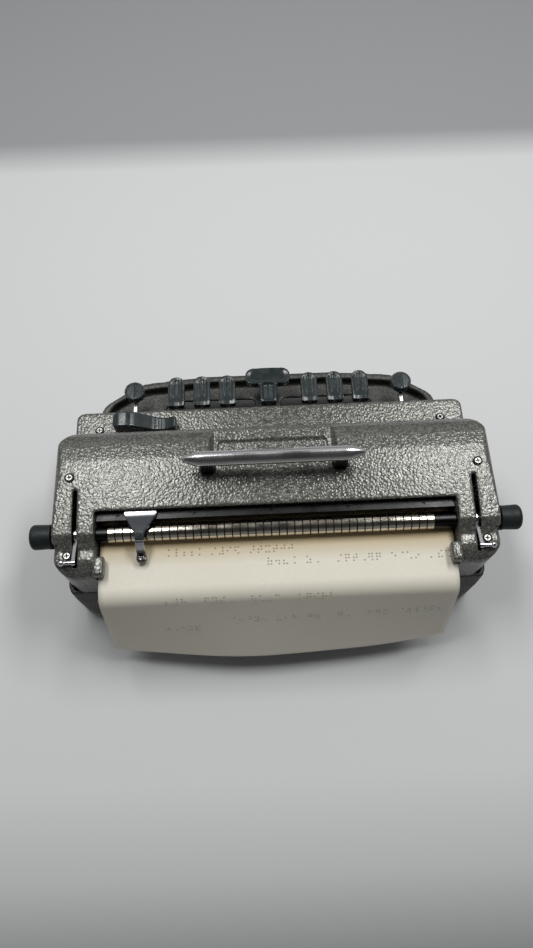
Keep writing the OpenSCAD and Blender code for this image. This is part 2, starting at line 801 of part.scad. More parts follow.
// Key lever: eye on the key shaft, an arm forward to the cap and a tail under the dot bars
module lever(x, front, tail_y, nub_y = undef) {
    low = lever_low_z;
    color(steel) translate([x, 0, 0]) difference() {
        union() {
            along_x(-lever_t / 2, lever_t / 2) polygon([
                [front, key_under_z], [lever_bend_y, key_under_z],
                [lever_bend_y + lever_slope, low + lever_h], [key_shaft_y, low + lever_h],
                [key_shaft_y + lever_eye_r, tail_z], [tail_y, tail_z],
                [tail_y, tail_z - lever_h], [key_shaft_y, low - 0.5],
                [lever_bend_y + lever_slope - 3, low],
                [lever_bend_y - 3, key_under_z - lever_h], [front, key_under_z - lever_h + 1]
            ]);
            shaft_x(lever_eye_r, -lever_t / 2, lever_t / 2, key_shaft_y, key_shaft_z);
            if (nub_y != undef)
                block([-lever_t / 2, nub_y - nub_w / 2, tail_z - 1],
                      [lever_t / 2, nub_y + nub_w / 2, bar_z - move_gap]);
        }
        shaft_x(key_shaft_r + run_gap, -lever_t, lever_t, key_shaft_y, key_shaft_z);
    }
}

module dot_lever(n) {
    lever(key_x[n - 1], key_rear_y - key_len + 6, bar_y(n) + 1.2, bar_y(n));
}

module round_lever(side) {
    lever(side * round_x, round_y - round_r * 0.6, plain_tail_y);
}

module dot_bar(n) {
    color(steel) block([-bar_half, bar_y(n) - bar_t / 2, bar_z], [bar_half, bar_y(n) + bar_t / 2, bar_top_z]);
}

module embossing_pin(n) {
    color(steel) translate([pin_x(n), bar_y(n), bar_top_z + move_gap])
        cylinder(r = pin_r, h = pin_top_z - bar_top_z - move_gap, $fn = 24);
}

// ---- Carriage ----

// C-shaped frame that reaches under and over the drum; its open mouth faces the back
module carriage_frame() {
    y0 = carriage_front_y;
    top = upper_arm_z + upper_arm_h;
    color(dark_steel) translate([carriage_x, 0, 0]) difference() {
        union() {
            along_x(-carriage_w / 2, carriage_w / 2) polygon([
                [y0, carriage_z], [block_rear_y, carriage_z], [block_rear_y, block_top_z],
                [block_front_y, block_top_z], [block_front_y, carriage_z + lower_arm_h],
                [upright_rear_y, carriage_z + lower_arm_h], [upright_rear_y, upper_arm_z],
                [pad_y, upper_arm_z], [pad_y + 12, pad_z - 8], [pad_y + 12, pad_z],
                [pad_y, pad_z], [pad_y - 7, top], [y0, top]
            ]);
            // Lug and pin for the carriage lever
            block([-5, y0 - 6.3, grip_z - move_gap - 5], [5, y0 + 1, grip_z - move_gap]);
            translate([0, grip_pin_y, grip_z - move_gap - 1]) cylinder(r = grip_pin_r, h = 5);
        }
        for (z = rail_z) shaft_x(rail_r + run_gap, -carriage_w, carriage_w, rail_y, z);
        for (n = [1:6]) translate([pin_x(n) - carriage_x, bar_y(n), carriage_z - 1])
            cylinder(r = pin_r + run_gap, h = far, $fn = 24);
    }
}

// Finger over the roller: a broad plate, a narrow neck and a round tip above the pins
module embossing_finger() {
    neck_y = roller_y + roller_r;
    tip_z = sheet_z + sheet_t / 2 + move_gap;
    color(dark_steel) translate([carriage_x, 0, 0]) {
        translate([0, 0, pad_z]) linear_extrude(finger_t) polygon(rounded(both_sides([
            [finger_w / 2, pad_y, 2], [finger_w / 2, lip_y + 3, 4],
            [finger_neck_w / 2, neck_y - 3, 8], [finger_neck_w / 2, neck_y, 0]
        ])));
        along_x(-finger_neck_w / 2, finger_neck_w / 2) polygon([
            [neck_y, pad_z], [neck_y, pad_z + finger_t], [neck_y + 4, pad_z + finger_t - 0.5],
            [tip_y, tip_z + 6], [tip_y, tip_z + 2], [tip_y - 4, tip_z + 2]
        ]);
        translate([0, tip_y, tip_z]) {
            cylinder(r1 = finger_tip_r - 1, r2 = finger_tip_r, h = 2);
            translate([0, 0, 2]) cylinder(r = finger_tip_r, h = 5);
            translate([0, 0, 7]) cylinder(r = finger_tip_r * 0.6, h = 1.2);
        }
    }
}

// Lever squeezed by hand to free the carriage: thick rounded end, hollow face, pointed tip
module carriage_lever() {
    front = grip_rear_y - grip_d;
    hinge_r = grip_pin_r + 1.3;
    boss_y = grip_rear_y - grip_d * 0.6;
    low = grip_z + grip_neck_t + 0.2;
    top = low + grip_h;
    thick_x = grip_shift + grip_len / 2;
    tip_x = grip_shift - grip_len / 2;
    color(plastic) translate([carriage_x, 0, 0]) difference() {
        union() {
            translate([0, 0, grip_z]) linear_extrude(grip_neck_t) polygon([
                [-hinge_r, grip_pin_y], [hinge_r, grip_pin_y],
                [grip_boss_w / 2, boss_y], [-grip_boss_w / 2, boss_y]
            ]);
            translate([0, grip_pin_y, grip_z]) cylinder(r = hinge_r, h = grip_neck_t);
            block([-grip_boss_w / 2, boss_y, grip_z], [grip_boss_w / 2, grip_rear_y, low + 1]);
            intersection() {
                translate([0, 0, low]) linear_extrude(grip_h + 1) polygon(rounded([
                    [thick_x, grip_rear_y, 6], [thick_x, front, 7],
                    [0, front + 1, 40], [tip_x, front + 4, 1.5],
                    [tip_x, grip_rear_y, 3]
                ]));
                along_y(front - 1, grip_rear_y + 1) polygon(rounded([
                    [tip_x, low, 0], [thick_x, low, 3], [thick_x, top, 7], [thick_x - 17, top, 16],
                    [tip_x + 20, top - grip_h * 0.66, 12], [tip_x + 9, top - grip_h * 0.66, 8],
                    [tip_x, top - grip_h * 0.3, 1.5]
                ]));
            }
        }
        translate([0, grip_pin_y, grip_z - 1]) cylinder(r = grip_pin_r + run_gap, h = 10);
        // Arch under the thick end
        along_y(front - 1, grip_rear_y + 1) translate([thick_x - 13, low - 12]) circle(r = 15);
    }
}

// Barrel of the mainspring that draws the carriage along
module spring_drum() {
    color(brass) translate([spool_x, spool_y + 3, spool_z]) rotate([90, 0, 0]) difference() {
        union() {
            cylinder(r = spool_r, h = 5);
            cylinder(r = spool_r - 3, h = 5.4);
        }
        translate([0, 0, -1]) cylinder(r = stud_r + run_gap, h = 10);
    }
}

module carriage_cord() {
    color(rubber) shaft_x(cord_r, carriage_x + carriage_w / 2, spool_x, spool_y, cord_z);
}

// ---- Paper feed ----

module feed_roller() {
    half = ring_half;
    color(steel) translate([0, roller_y, roller_z]) {
        translate([ring_shift, 0, 0]) rotate([0, 90, 0]) rotate_extrude() polygon(concat(
            [[0, -half]],
            [for (i = [0:ring_count - 1]) let (z = -half + i * ring_pitch) each [
                [roller_r - ring_depth, z], [roller_r - ring_depth, z + ring_pitch * 0.16],
                [roller_r, z + ring_pitch * 0.26], [roller_r, z + ring_pitch * 0.9]
            ]],
            [[roller_r - ring_depth, half], [0, half]]
        ));
        shaft_x(roller_r - ring_depth - 0.1, -drum_half, drum_half, 0, 0);
        shaft_x(roller_r - 0.4, -drum_half, ring_shift - half, 0, 0);
        shaft_x(roller_r - 0.4, ring_shift + half, drum_half, 0, 0);
        shaft_x(shaft_r, -knob_x - 1, knob_x + 1, 0, 0);
    }
}

module feed_knobs() {
    color(plastic) pair() translate([knob_x, roller_y, roller_z]) rotate([0, 90, 0]) difference() {
        rotate_extrude() polygon(rounded([
            [0, 0, 0], [knob_r - 0.6, 0, 0.5], [knob_r, knob_len, 3.5], [0, knob_len, 0]
        ]));
        translate([0, 0, -1]) cylinder(r = shaft_r, h = 2);
    }
}

// Tube on a long shaft, joined to it by a web in the middle
module paper_drum() {
    cap = 5;
    web = 4;
    skin_r = drum_r - drum_skin;
    color(dark_steel) translate([0, roller_y, drum_z]) rotate([0, 90, 0]) rotate_extrude() polygon([
        [0, -frame_out - 1], [shaft_r, -frame_out - 1], [shaft_r, -web], [skin_r, -web],
        [skin_r, -drum_half], [drum_r, -drum_half], [drum_r, drum_half], [skin_r, drum_half],
        [skin_r, web], [shaft_r, web], [shaft_r, frame_out + cap], [0, frame_out + cap]
    ]);
}

// Wheel on the drum's shaft that holds the line spacing
module ratchet_wheel() {
    teeth = 20;
    r = drum_r * 0.72;
    color(steel) translate([frame_out + 1, roller_y, drum_z]) rotate([90, 0, 90]) difference() {
        linear_extrude(3) polygon([for (i = [0:teeth - 1]) each [
            r * [cos(i * 360 / teeth), sin(i * 360 / teeth)],
            (r - 2) * [cos((i + 0.15) * 360 / teeth), sin((i + 0.15) * 360 / teeth)]
        ]]);
        translate([0, 0, -1]) cylinder(r = shaft_r, h = 6);
    }
}

module pressure_roller() {
    color(rubber) {
        shaft_x(press_r, -drum_half, drum_half, press_y, drum_z);
        pair() shaft_x(press_shaft_r, drum_half, frame_out + 1, press_y, drum_z);
    }
}

// Lever on the roller's shaft, with a ball-ended pin that rides above its slot
module release_lever(side) {
    rest = asin(release_rise / release_r);
    end_r = 2.2;
    color(chrome) scale([side, 1, 1]) translate([0, roller_y, roller_z]) rotate([rest, 0, 0]) {
        difference() {
            along_x(slot_x - release_t / 2, slot_x + release_t / 2) union() {
                circle(r = shaft_r + 3);
                polygon([[0, -3], [release_r, -end_r], [release_r, end_r], [0, 3]]);
                translate([release_r, 0]) circle(r = end_r);
            }
            shaft_x(shaft_r + run_gap, slot_x - release_t, slot_x + release_t, 0, 0);
        }
        shaft_x(1.5, slot_x, ball_x, release_r, 0);
        translate([ball_x, release_r, 0]) sphere(r = ball_r);
    }
}

// Sheet half round the drum, level under the roller and hanging behind
module paper_sheet() {
    inner = drum_r + (nip_gap - sheet_t) / 2;
    bend_y = roller_y + sheet_run;
    fall = [sheet_reach, sheet_end_z - sheet_z] / norm([sheet_reach, sheet_end_z - sheet_z]);
    side = [-fall.y, fall.x] * sheet_t / 2;
    end = [bend_y + sheet_reach, sheet_end_z];
    turn = atan2(-fall.y, fall.x) / 2;
    shift = sheet_t / 2 * tan(turn);
    color(paper) {
        along_x(-sheet_w / 2, sheet_w / 2) polygon(rounded([
            [roller_y, sheet_z + sheet_t / 2, 0],
            [bend_y + shift, sheet_z + sheet_t / 2, bend_r + sheet_t / 2],
            [end.x + side.x, end.y + side.y, 0],
            [end.x - side.x, end.y - side.y, 0],
            [bend_y - shift, sheet_z - sheet_t / 2, bend_r - sheet_t / 2],
            [roller_y, sheet_z - sheet_t / 2, 0]
        ]));
        difference() {
            shaft_x(inner + sheet_t, -sheet_w / 2, sheet_w / 2, roller_y, drum_z);
            shaft_x(inner, -far, far, roller_y, drum_z);
            block([-far, roller_y, 0], [far, far, far]);
        }
    }
}

// ---- Handle and margin stops ----

module carrying_handle() {
    z0 = post_top_z;
    color(chrome) {
        difference() {
            intersection() {
                translate([0, handle_y, z0]) linear_extrude(handle_t) polygon(rounded(both_sides([
                    [handle_len / 2 - 12, -handle_w / 2, 3], [handle_len / 2, -2.5, 2],
                    [handle_len / 2, 2.5, 2], [handle_len / 2 - 12, handle_w / 2, 3]
                ])));
                along_x(-handle_len, handle_len) polygon(rounded([
                    [handle_y - handle_w / 2, z0, 1], [handle_y + handle_w / 2, z0, 1],
                    [handle_y + handle_w / 2, z0 + handle_t * 0.7, 2],
                    [handle_y + 1, handle_top_z, 4], [handle_y - 3, handle_top_z, 3],
                    [handle_y - handle_w / 2, z0 + handle_t * 0.5, 2]
                ]));
                along_y(handle_y - handle_w, handle_y + handle_w) polygon(rounded(both_sides([
                    [handle_len / 2 - 11, z0, 2], [handle_len / 2, z0 + handle_t * 0.35, 1],
                    [handle_len / 2, z0 + handle_t * 0.65, 1], [handle_len / 2 - 11, handle_top_z, 4]
                ])));
            }
            // Notch in the thin front lip
            block([-notch_w / 2, handle_y - handle_w, z0 - 1],
                  [notch_w / 2, handle_y - handle_w / 2 + 1, handle_top_z + 1]);
        }
        pair() translate([post_x, handle_y, 0]) {
            block([-post_w / 2, -post_d / 2, collar_top_z - collar_t], [post_w / 2, post_d / 2, z0 + 1]);
            block([-post_w / 2 - 1.5, -post_d / 2 - 1.5, collar_top_z - collar_t],
                  [post_w / 2 + 1.5, post_d / 2 + 1.5, collar_top_z]);
        }
    }
}

module margin_stop(x) {
    color(steel) translate([x, margin_y, margin_z]) difference() {
        block([-4, -5.5, -5.3], [4, 5.5, 5]);
        shaft_x(margin_rod_r + run_gap, -5, 5, 0, 0);
    }
}

base_casting();
top_cover();
front_panel();
rubber_feet();
cover_screws();
base_screws();
end_frames();
guide_bar();
carriage_rails();
escapement_rack();
key_shaft();
key_springs();
bell();
bell_hammer();
carrying_handle();
dot_key(1);  // key_1
dot_key(2);  // key_2
dot_key(3);  // key_3
dot_key(4);  // key_4
dot_key(5);  // key_5
dot_key(6);  // key_6
dot_lever(1);  // lever_1
dot_lever(2);  // lever_2
dot_lever(3);  // lever_3
dot_lever(4);  // lever_4
dot_lever(5);  // lever_5
dot_lever(6);  // lever_6
space_key();
lever(0, space_front_y + 6, plain_tail_y);  // space_lever
round_key(1);  // backspace_key
round_lever(1);  // backspace_lever
round_key(-1);  // line_key
round_lever(-1);  // line_lever
dot_bar(1);  // dot_bar_1
dot_bar(2);  // dot_bar_2
dot_bar(3);  // dot_bar_3
dot_bar(4);  // dot_bar_4
dot_bar(5);  // dot_bar_5
dot_bar(6);  // dot_bar_6
embossing_pin(1);  // pin_1
embossing_pin(2);  // pin_2
embossing_pin(3);  // pin_3
embossing_pin(4);  // pin_4
embossing_pin(5);  // pin_5
embossing_pin(6);  // pin_6
carriage_frame();
embossing_finger();
carriage_lever();
spring_drum();
carriage_cord();
feed_roller();
feed_knobs();
paper_drum();
ratchet_wheel();
pressure_roller();
release_lever(-1);  // release_lever_left
release_lever(1);  // release_lever_right
paper_sheet();
margin_stop(-margin_stop_x);  // margin_stop_left
margin_stop(margin_stop_x);  // margin_stop_right
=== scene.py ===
import json
import math
import random

import bmesh
import bpy
from mathutils import Matrix, Vector


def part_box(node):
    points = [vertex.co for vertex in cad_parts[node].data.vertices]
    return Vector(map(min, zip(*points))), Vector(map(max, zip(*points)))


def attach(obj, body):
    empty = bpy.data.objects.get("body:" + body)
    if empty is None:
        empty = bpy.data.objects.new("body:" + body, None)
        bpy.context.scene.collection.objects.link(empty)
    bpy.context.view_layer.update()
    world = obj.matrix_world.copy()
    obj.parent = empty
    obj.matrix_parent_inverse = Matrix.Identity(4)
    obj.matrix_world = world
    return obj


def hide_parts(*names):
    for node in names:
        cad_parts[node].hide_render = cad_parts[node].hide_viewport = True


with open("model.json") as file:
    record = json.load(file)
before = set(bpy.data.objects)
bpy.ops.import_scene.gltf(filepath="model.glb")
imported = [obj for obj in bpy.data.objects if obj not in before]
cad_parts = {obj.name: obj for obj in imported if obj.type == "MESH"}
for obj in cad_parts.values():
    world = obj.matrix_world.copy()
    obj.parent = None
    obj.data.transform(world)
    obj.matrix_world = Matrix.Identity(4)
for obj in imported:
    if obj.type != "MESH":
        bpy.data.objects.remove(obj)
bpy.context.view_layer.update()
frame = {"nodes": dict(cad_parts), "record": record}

# Looks of the manual braille writer. X is the writer's right, Y the back, Z up. Blender's lengths are metres.
MM = 0.001
nodes = frame["nodes"]
SLOT = {part["node"]: part["material_slot"] for part in frame["record"]["subparts"]}
BODY = {n: body for body, members in frame["record"]["behaviour"]["bodies"].items() for n in members}


# ---- Sizes and places in millimetres ----

# Caps of the keys, handle and finger, as in the part's source
KEY_X = {"key_1": -40.0, "key_2": -64.8, "key_3": -89.6, "key_4": 40.0, "key_5": 64.8, "key_6": 89.6}
KEY_REAR, KEY_FRONT, KEY_TOP, KEY_HALF = -94.5, -126.0, 63.0, 8.0
CAP_DEPTH, RIM = 2.4, 0.5
SPACE_FRONT, SPACE_WING, SPACE_HALF = -132.5, 17.4, 22.0
ROUND_X, ROUND_Y, ROUND_R, ROUND_TOP = 130.0, -112.0, 10.0, 64.2
HANDLE_Y, HANDLE_Z, HANDLE_HALF, NOTCH_HALF = 4.0, 149.0, 73.5, 13.5
FINGER_X, FINGER_SCREW_Y, FINGER_PIN_Y = 110.6, 69.6, 56.2

# The feed roller and the drum under it share one Y; the sheet wraps the drum and leaves it level
ROLLER_Y, ROLLER_Z, LAND_R, GROOVE_R, RING_PITCH = 50.5, 112.0, 6.9, 6.2, 6.35
DRUM_Z, WRAP_R = 87.2, 16.4
SHEET_HALF, LEVEL, BEND_R, FALL_LEN = 146.0, 42.73, 15.0, 73.0
BEND_DEG, CORNER_DEG = 63.4, 9.6


# ---- Camera, lights and floor ----

IMAGE_H = 948
FOCAL_PX = 704.6
CAMERA_AT = Vector((14.0, 238.7, 660.5)) * MM
PITCH, YAW, ROLL = math.radians(66.7), math.radians(-1.87), math.radians(-0.70)
SENSOR = 36.0

# Brightness of the light from all round, by height: 0 level with the floor, 1 overhead
FRONT_LIGHT = [(0.0, 0.28), (0.28, 0.28), (0.42, 0.65), (0.62, 0.55), (0.80, 0.20), (0.93, 0.05)]
REAR_LIGHT = [(0.0, 0.25), (0.2, 0.22), (0.42, 0.12), (0.60, 0.05), (0.76, 0.04), (1.0, 0.04)]
LIGHT_TINT = (0.99, 0.99, 1.01)
FRONT_TO_REAR = 0.25
LAMP_SIZE = (0.22, 0.76)
FLOOR_SIZE, FLOOR_FADE = 12, 0.6


def make_camera():
    """The photograph's view: from behind the machine and above it."""
    data = bpy.data.cameras.new("camera")
    data.sensor_fit = "VERTICAL"
    data.sensor_height = SENSOR
    data.sensor_width = SENSOR
    data.lens = FOCAL_PX / IMAGE_H * SENSOR
    forward = Vector((0, -math.cos(PITCH), -math.sin(PITCH)))
    right = Vector((-1, 0, 0))
    up = right.cross(forward)
    across = math.cos(ROLL) * right + math.sin(ROLL) * up
    upward = -math.sin(ROLL) * right + math.cos(ROLL) * up
    turn = Matrix.Rotation(YAW, 3, "Z")
    axes = Matrix([turn @ across, turn @ upward, turn @ -forward]).transposed()
    camera = bpy.data.objects.new("camera", data)
    camera.matrix_world = Matrix.Translation(CAMERA_AT) @ axes.to_4x4()
    bpy.context.scene.collection.objects.link(camera)
    bpy.context.scene.camera = camera


def area_light(name, at, power):
    """A long soft lamp that shines straight down."""
    data = bpy.data.lights.new(name, "AREA")
    data.shape = "RECTANGLE"
    data.size, data.size_y = LAMP_SIZE
    data.energy = power
    lamp = bpy.data.objects.new(name, data)
    lamp.location = at
    bpy.context.scene.collection.objects.link(lamp)


def make_world():
    """Light from all round: a bright band in front of the machine, little from behind, dark overhead."""
    world = bpy.data.worlds.new("world")
    bpy.context.scene.world = world
    world.use_nodes = True
    tree = world.node_tree
    place = tree.nodes.new("ShaderNodeTexCoord").outputs["Generated"]
    parts = tree.nodes.new("ShaderNodeSeparateXYZ")
    tree.links.new(place, parts.inputs["Vector"])
    sides = []
    for stops in (FRONT_LIGHT, REAR_LIGHT):
        ramp = tree.nodes.new("ShaderNodeValToRGB")
        tree.links.new(parts.outputs["Z"], ramp.inputs["Fac"])
        points = ramp.color_ramp.elements
        while len(points) < len(stops):
            points.new(0.5)
        for point, (at, level) in zip(points, stops):
            point.position = at
            point.color = (*(level * c for c in LIGHT_TINT), 1)
        sides.append(ramp.outputs["Color"])
    rearward = tree.nodes.new("ShaderNodeMapRange")
    rearward.inputs["From Min"].default_value = -FRONT_TO_REAR
    rearward.inputs["From Max"].default_value = FRONT_TO_REAR
    tree.links.new(parts.outputs["Y"], rearward.inputs["Value"])
    both = tree.nodes.new("ShaderNodeMix")
    both.data_type = "RGBA"
    tree.links.new(rearward.outputs["Result"], both.inputs[0])
    tree.links.new(sides[0], both.inputs[6])
    tree.links.new(sides[1], both.inputs[7])
    tree.links.new(both.outputs[2], tree.nodes["Background"].inputs["Color"])
    tree.nodes["Background"].inputs["Strength"].default_value = 1.0


def make_stage():
    """Plain pale floor, painted darker well in front of the machine and again a little behind it: painted
    shade for the dimmer light there.
    """
    bpy.ops.mesh.primitive_plane_add(size=FLOOR_SIZE, location=(0, 0, 0))
    floor = bpy.context.object
    floor.name = "floor"
    paint = Paint("floor_paint", roughness=0.8)
    depth = paint.node("ShaderNodeSeparateXYZ")
    paint.link(paint.place, depth.inputs["Vector"])
    span = paint.node("ShaderNodeMapRange")
    span.inputs["From Min"].default_value = -FLOOR_FADE
    span.inputs["From Max"].default_value = FLOOR_FADE
    paint.link(depth.outputs["Y"], span.inputs["Value"])
    # Ramp over Y: painted shade at the far front and near the back, pale between.
    grey = paint.ramp(span.outputs["Result"], [
        (0.0, (0.30, 0.305, 0.31)), (0.068, (0.30, 0.305, 0.31)), (0.11, (0.62, 0.63, 0.63)),
        (0.45, (0.64, 0.65, 0.65)), (0.70, (0.645, 0.655, 0.655)), (0.76, (0.52, 0.53, 0.53)),
        (0.81, (0.28, 0.29, 0.29))])
    paint.finish(grey, None, paint.bump(paint.noise(120.0, 6.0, 0.6), 0.03, 0.0005))
    floor.data.materials.append(paint.material)


# ---- Materials ----

def material(name, colour, roughness, metallic=0.0):
    """A principled material with one value on each socket."""
    made = bpy.data.materials.new(name)
    made.use_nodes = True
    shader = made.node_tree.nodes["Principled BSDF"]
    shader.inputs["Base Color"].default_value = (*colour, 1)
    shader.inputs["Roughness"].default_value = roughness
    shader.inputs["Metallic"].default_value = metallic
    return made


class Paint:
    """Short names for the nodes that the materials below are built of."""

    def __init__(self, name, roughness=0.5, metallic=0.0):
        self.material = material(name, (0.5, 0.5, 0.5), roughness, metallic)
        self.tree = self.material.node_tree
        self.shader = self.tree.nodes["Principled BSDF"]
        self.place = self.node("ShaderNodeTexCoord").outputs["Object"]

    def node(self, kind, **settings):
        made = self.tree.nodes.new(kind)
        for key, value in settings.items():
            setattr(made, key, value)
        return made

    def link(self, source, target):
        self.tree.links.new(source, target)

    def stretched(self, scale):
        """Object coordinates scaled by three numbers."""
        made = self.node("ShaderNodeMapping")
        self.link(self.place, made.inputs["Vector"])
        made.inputs["Scale"].default_value = scale
        return made.outputs["Vector"]

    def noise(self, scale, detail=3.0, rough=0.5, vector=None, warp=0.0):
        made = self.node("ShaderNodeTexNoise")
        self.link(vector or self.place, made.inputs["Vector"])
        made.inputs["Scale"].default_value = scale
        made.inputs["Detail"].default_value = detail
        made.inputs["Roughness"].default_value = rough
        made.inputs["Distortion"].default_value = warp
        return made.outputs["Fac"]

    def ramp(self, value, stops):
        """Colour or grey ramp: stops are (place, number or colour)."""
        made = self.node("ShaderNodeValToRGB")
        self.link(value, made.inputs["Fac"])
        points = made.color_ramp.elements
        while len(points) < len(stops):
            points.new(0.5)
        for point, (at, colour) in zip(points, stops):
            point.position = at
            shade = (colour,) * 3 if isinstance(colour, float) else colour
            point.color = (*shade, 1)
        return made.outputs["Color"]

    def mix(self, share, first, second, kind="MIX"):
        """Mixes two colours, each a socket or three numbers, by a share that is a socket or a number."""
        made = self.node("ShaderNodeMix", data_type="RGBA", blend_type=kind)
        for key, value in ((0, share), (6, first), (7, second)):
            if isinstance(value, bpy.types.NodeSocket):
                self.link(value, made.inputs[key])
            elif key:
                made.inputs[key].default_value = (*value, 1)
            else:
                made.inputs[key].default_value = value
        return made.outputs[2]

    def bump(self, height, strength, depth, under=None):
        made = self.node("ShaderNodeBump")
        self.link(height, made.inputs["Height"])
        made.inputs["Strength"].default_value = strength
        made.inputs["Distance"].default_value = depth
        if under:
            self.link(under, made.inputs["Normal"])
        return made.outputs["Normal"]

    def edges(self, low=0.5, high=0.6):
        """1 on sharp outer edges and ridges, 0 elsewhere."""
        return self.ramp(self.node("ShaderNodeNewGeometry").outputs["Pointiness"], [(low, 0.0), (high, 1.0)])

    def finish(self, colour, roughness=None, normal=None):
        self.link(colour, self.shader.inputs["Base Color"])
        if roughness:
            self.link(roughness, self.shader.inputs["Roughness"])
        if normal:
            self.link(normal, self.shader.inputs["Normal"])
        return self.material


def hammertone(name, shade=0.49, relief=0.00030, gloss=(0.20, 0.29)):
    """Stoved hammer paint: rounded dimples of aluminium flake between darker veins."""
    p = Paint(name, metallic=0.39)
    cell, wander = 470.0, 0.0022
    warp = p.node("ShaderNodeTexNoise")
    p.link(p.place, warp.inputs["Vector"])
    warp.inputs["Scale"].default_value = cell * 0.8
    warped = p.node("ShaderNodeMix", data_type="VECTOR")
    warped.inputs["Factor"].default_value = wander
    p.link(p.place, warped.inputs[4])
    p.link(warp.outputs["Color"], warped.inputs[5])
    dimples = p.node("ShaderNodeTexVoronoi", feature="SMOOTH_F1")
    dimples.inputs["Scale"].default_value = cell
    dimples.inputs["Smoothness"].default_value = 0.5
    p.link(warped.outputs[1], dimples.inputs["Vector"])
    depth = dimples.outputs["Distance"]
    tones = [(0.15, (0.40, 0.40, 0.375)), (0.42, (0.31, 0.31, 0.285)), (0.60, (0.19, 0.19, 0.172))]
    fleck = p.ramp(depth, [(at, tuple(shade * c for c in tone)) for at, tone in tones])
    drift = p.ramp(p.noise(26.0, 4.0, 0.6), [(0.3, (0.86, 0.86, 0.83)), (0.7, (1.0, 1.0, 1.0))])
    colour = p.mix(1.0, fleck, drift, "MULTIPLY")
    colour = p.mix(p.ramp(p.noise(9.0, 5.0, 0.7), [(0.62, 0.0), (0.75, 0.35)]), colour, (0.16, 0.15, 0.12))
    rough = p.ramp(p.noise(220.0), [(0.3, gloss[0]), (0.7, gloss[1])])
    normal = p.bump(depth, 0.85, relief)
    return p.finish(colour, rough, normal)


def key_plastic(name):
    """Glossy dark green-grey moulding, paler on its edges and beads: some scuffing, made strong as a painted
    highlight.
    """
    p = Paint(name)
    base = p.ramp(p.noise(60.0, 5.0, 0.65), [(0.3, (0.013, 0.020, 0.021)), (0.7, (0.022, 0.030, 0.031))])
    # Pale edges and beads: partly scuffing, mostly a painted highlight for the reflection lines on the glossy
    # caps.
    edge_wear_and_highlight = p.mix(p.edges(0.53, 0.62), base, (0.17, 0.19, 0.19))
    dust = p.ramp(p.noise(900.0, 2.0), [(0.68, 0.0), (0.76, 0.3)])
    colour = p.mix(dust, edge_wear_and_highlight, (0.10, 0.115, 0.112))
    rough = p.ramp(p.noise(140.0, 6.0, 0.7), [(0.35, 0.16), (0.7, 0.34)])
    p.shader.inputs["Specular IOR Level"].default_value = 0.42
    return p.finish(colour, rough, p.bump(p.noise(320.0, 5.0), 0.10, 0.0004))


def metal(name, dark, pale, rough, grain=(40.0, 400.0, 400.0), wear=None, scratch=0.08):
    """Turned or ground metal: two tones in a grain, roughness that follows it, and fine scratches."""
    p = Paint(name, metallic=1.0)
    lines = p.noise(6.0, 6.0, 0.7, p.stretched(grain))
    tones = p.ramp(lines, [(0.3, dark), (0.7, pale)])
    smears = p.noise(55.0, 5.0, 0.65)
    colour = p.mix(p.ramp(smears, [(0.55, 0.0), (0.8, 0.45)]), tones, tuple(0.55 * c for c in dark))
    if wear:
        colour = p.mix(p.edges(0.53, 0.6), colour, wear)
    roughness = p.ramp(smears, [(0.3, rough[0]), (0.75, rough[1])])
    return p.finish(colour, roughness, p.bump(lines, scratch, 0.0003))


def rubber_black(name, dark=(0.018, 0.018, 0.017), pale=(0.05, 0.048, 0.045), rough=0.6):
    """Dull dark rubber or plastic, a little uneven."""
    p = Paint(name)
    colour = p.ramp(p.noise(90.0, 6.0, 0.7), [(0.3, dark), (0.75, pale)])
    gloss = p.ramp(p.noise(240.0), [(0.3, rough), (0.7, rough + 0.2)])
    p.shader.inputs["Specular IOR Level"].default_value = 0.3
    return p.finish(colour, gloss, p.bump(p.noise(700.0), 0.3, 0.0004))


def finger_metal(name):
    """Dark blued steel, bare and bright on the slope past its neck; the pale bare band on its front edge is
    partly a painted highlight.
    """
    p = Paint(name, roughness=0.12, metallic=1.0)
    place = p.node("ShaderNodeSeparateXYZ")
    p.link(p.place, place.inputs["Vector"])
    along = p.node("ShaderNodeMapRange")
    along.inputs["From Min"].default_value = 0.034
    along.inputs["From Max"].default_value = 0.074
    p.link(place.outputs["Y"], along.inputs["Value"])
    # Pale metallic band at the front edge: partly bare steel, partly a painted highlight; the bright band
    # past the neck is bare steel.
    tone = p.ramp(along.outputs["Result"], [
        (0.0, (0.60, 0.61, 0.62)), (0.08, (0.36, 0.38, 0.40)), (0.15, (0.045, 0.052, 0.060)),
        (0.66, (0.03, 0.034, 0.038)), (0.68, (0.92, 0.92, 0.93)), (0.80, (0.85, 0.85, 0.86)),
        (0.83, (0.22, 0.22, 0.22)), (1.0, (0.16, 0.16, 0.16))])
    bare_steel_and_edge_highlight = p.ramp(along.outputs["Result"], [(0.06, 1.0), (0.14, 0.0), (0.66, 0.0), (0.68, 1.0)])
    p.link(bare_steel_and_edge_highlight, p.shader.inputs["Metallic"])
    p.shader.inputs["Specular IOR Level"].default_value = 0.06
    cloud = p.ramp(p.noise(60.0, 5.0, 0.65), [(0.3, (0.8, 0.8, 0.8)), (0.7, (1.0, 1.0, 1.0))])
    colour = p.mix(1.0, tone, cloud, "MULTIPLY")
    rough = p.ramp(p.noise(90.0, 6.0, 0.7), [(0.3, 0.12), (0.75, 0.24)])
    return p.finish(colour, rough, p.bump(p.noise(400.0, 4.0), 0.03, 0.0002))


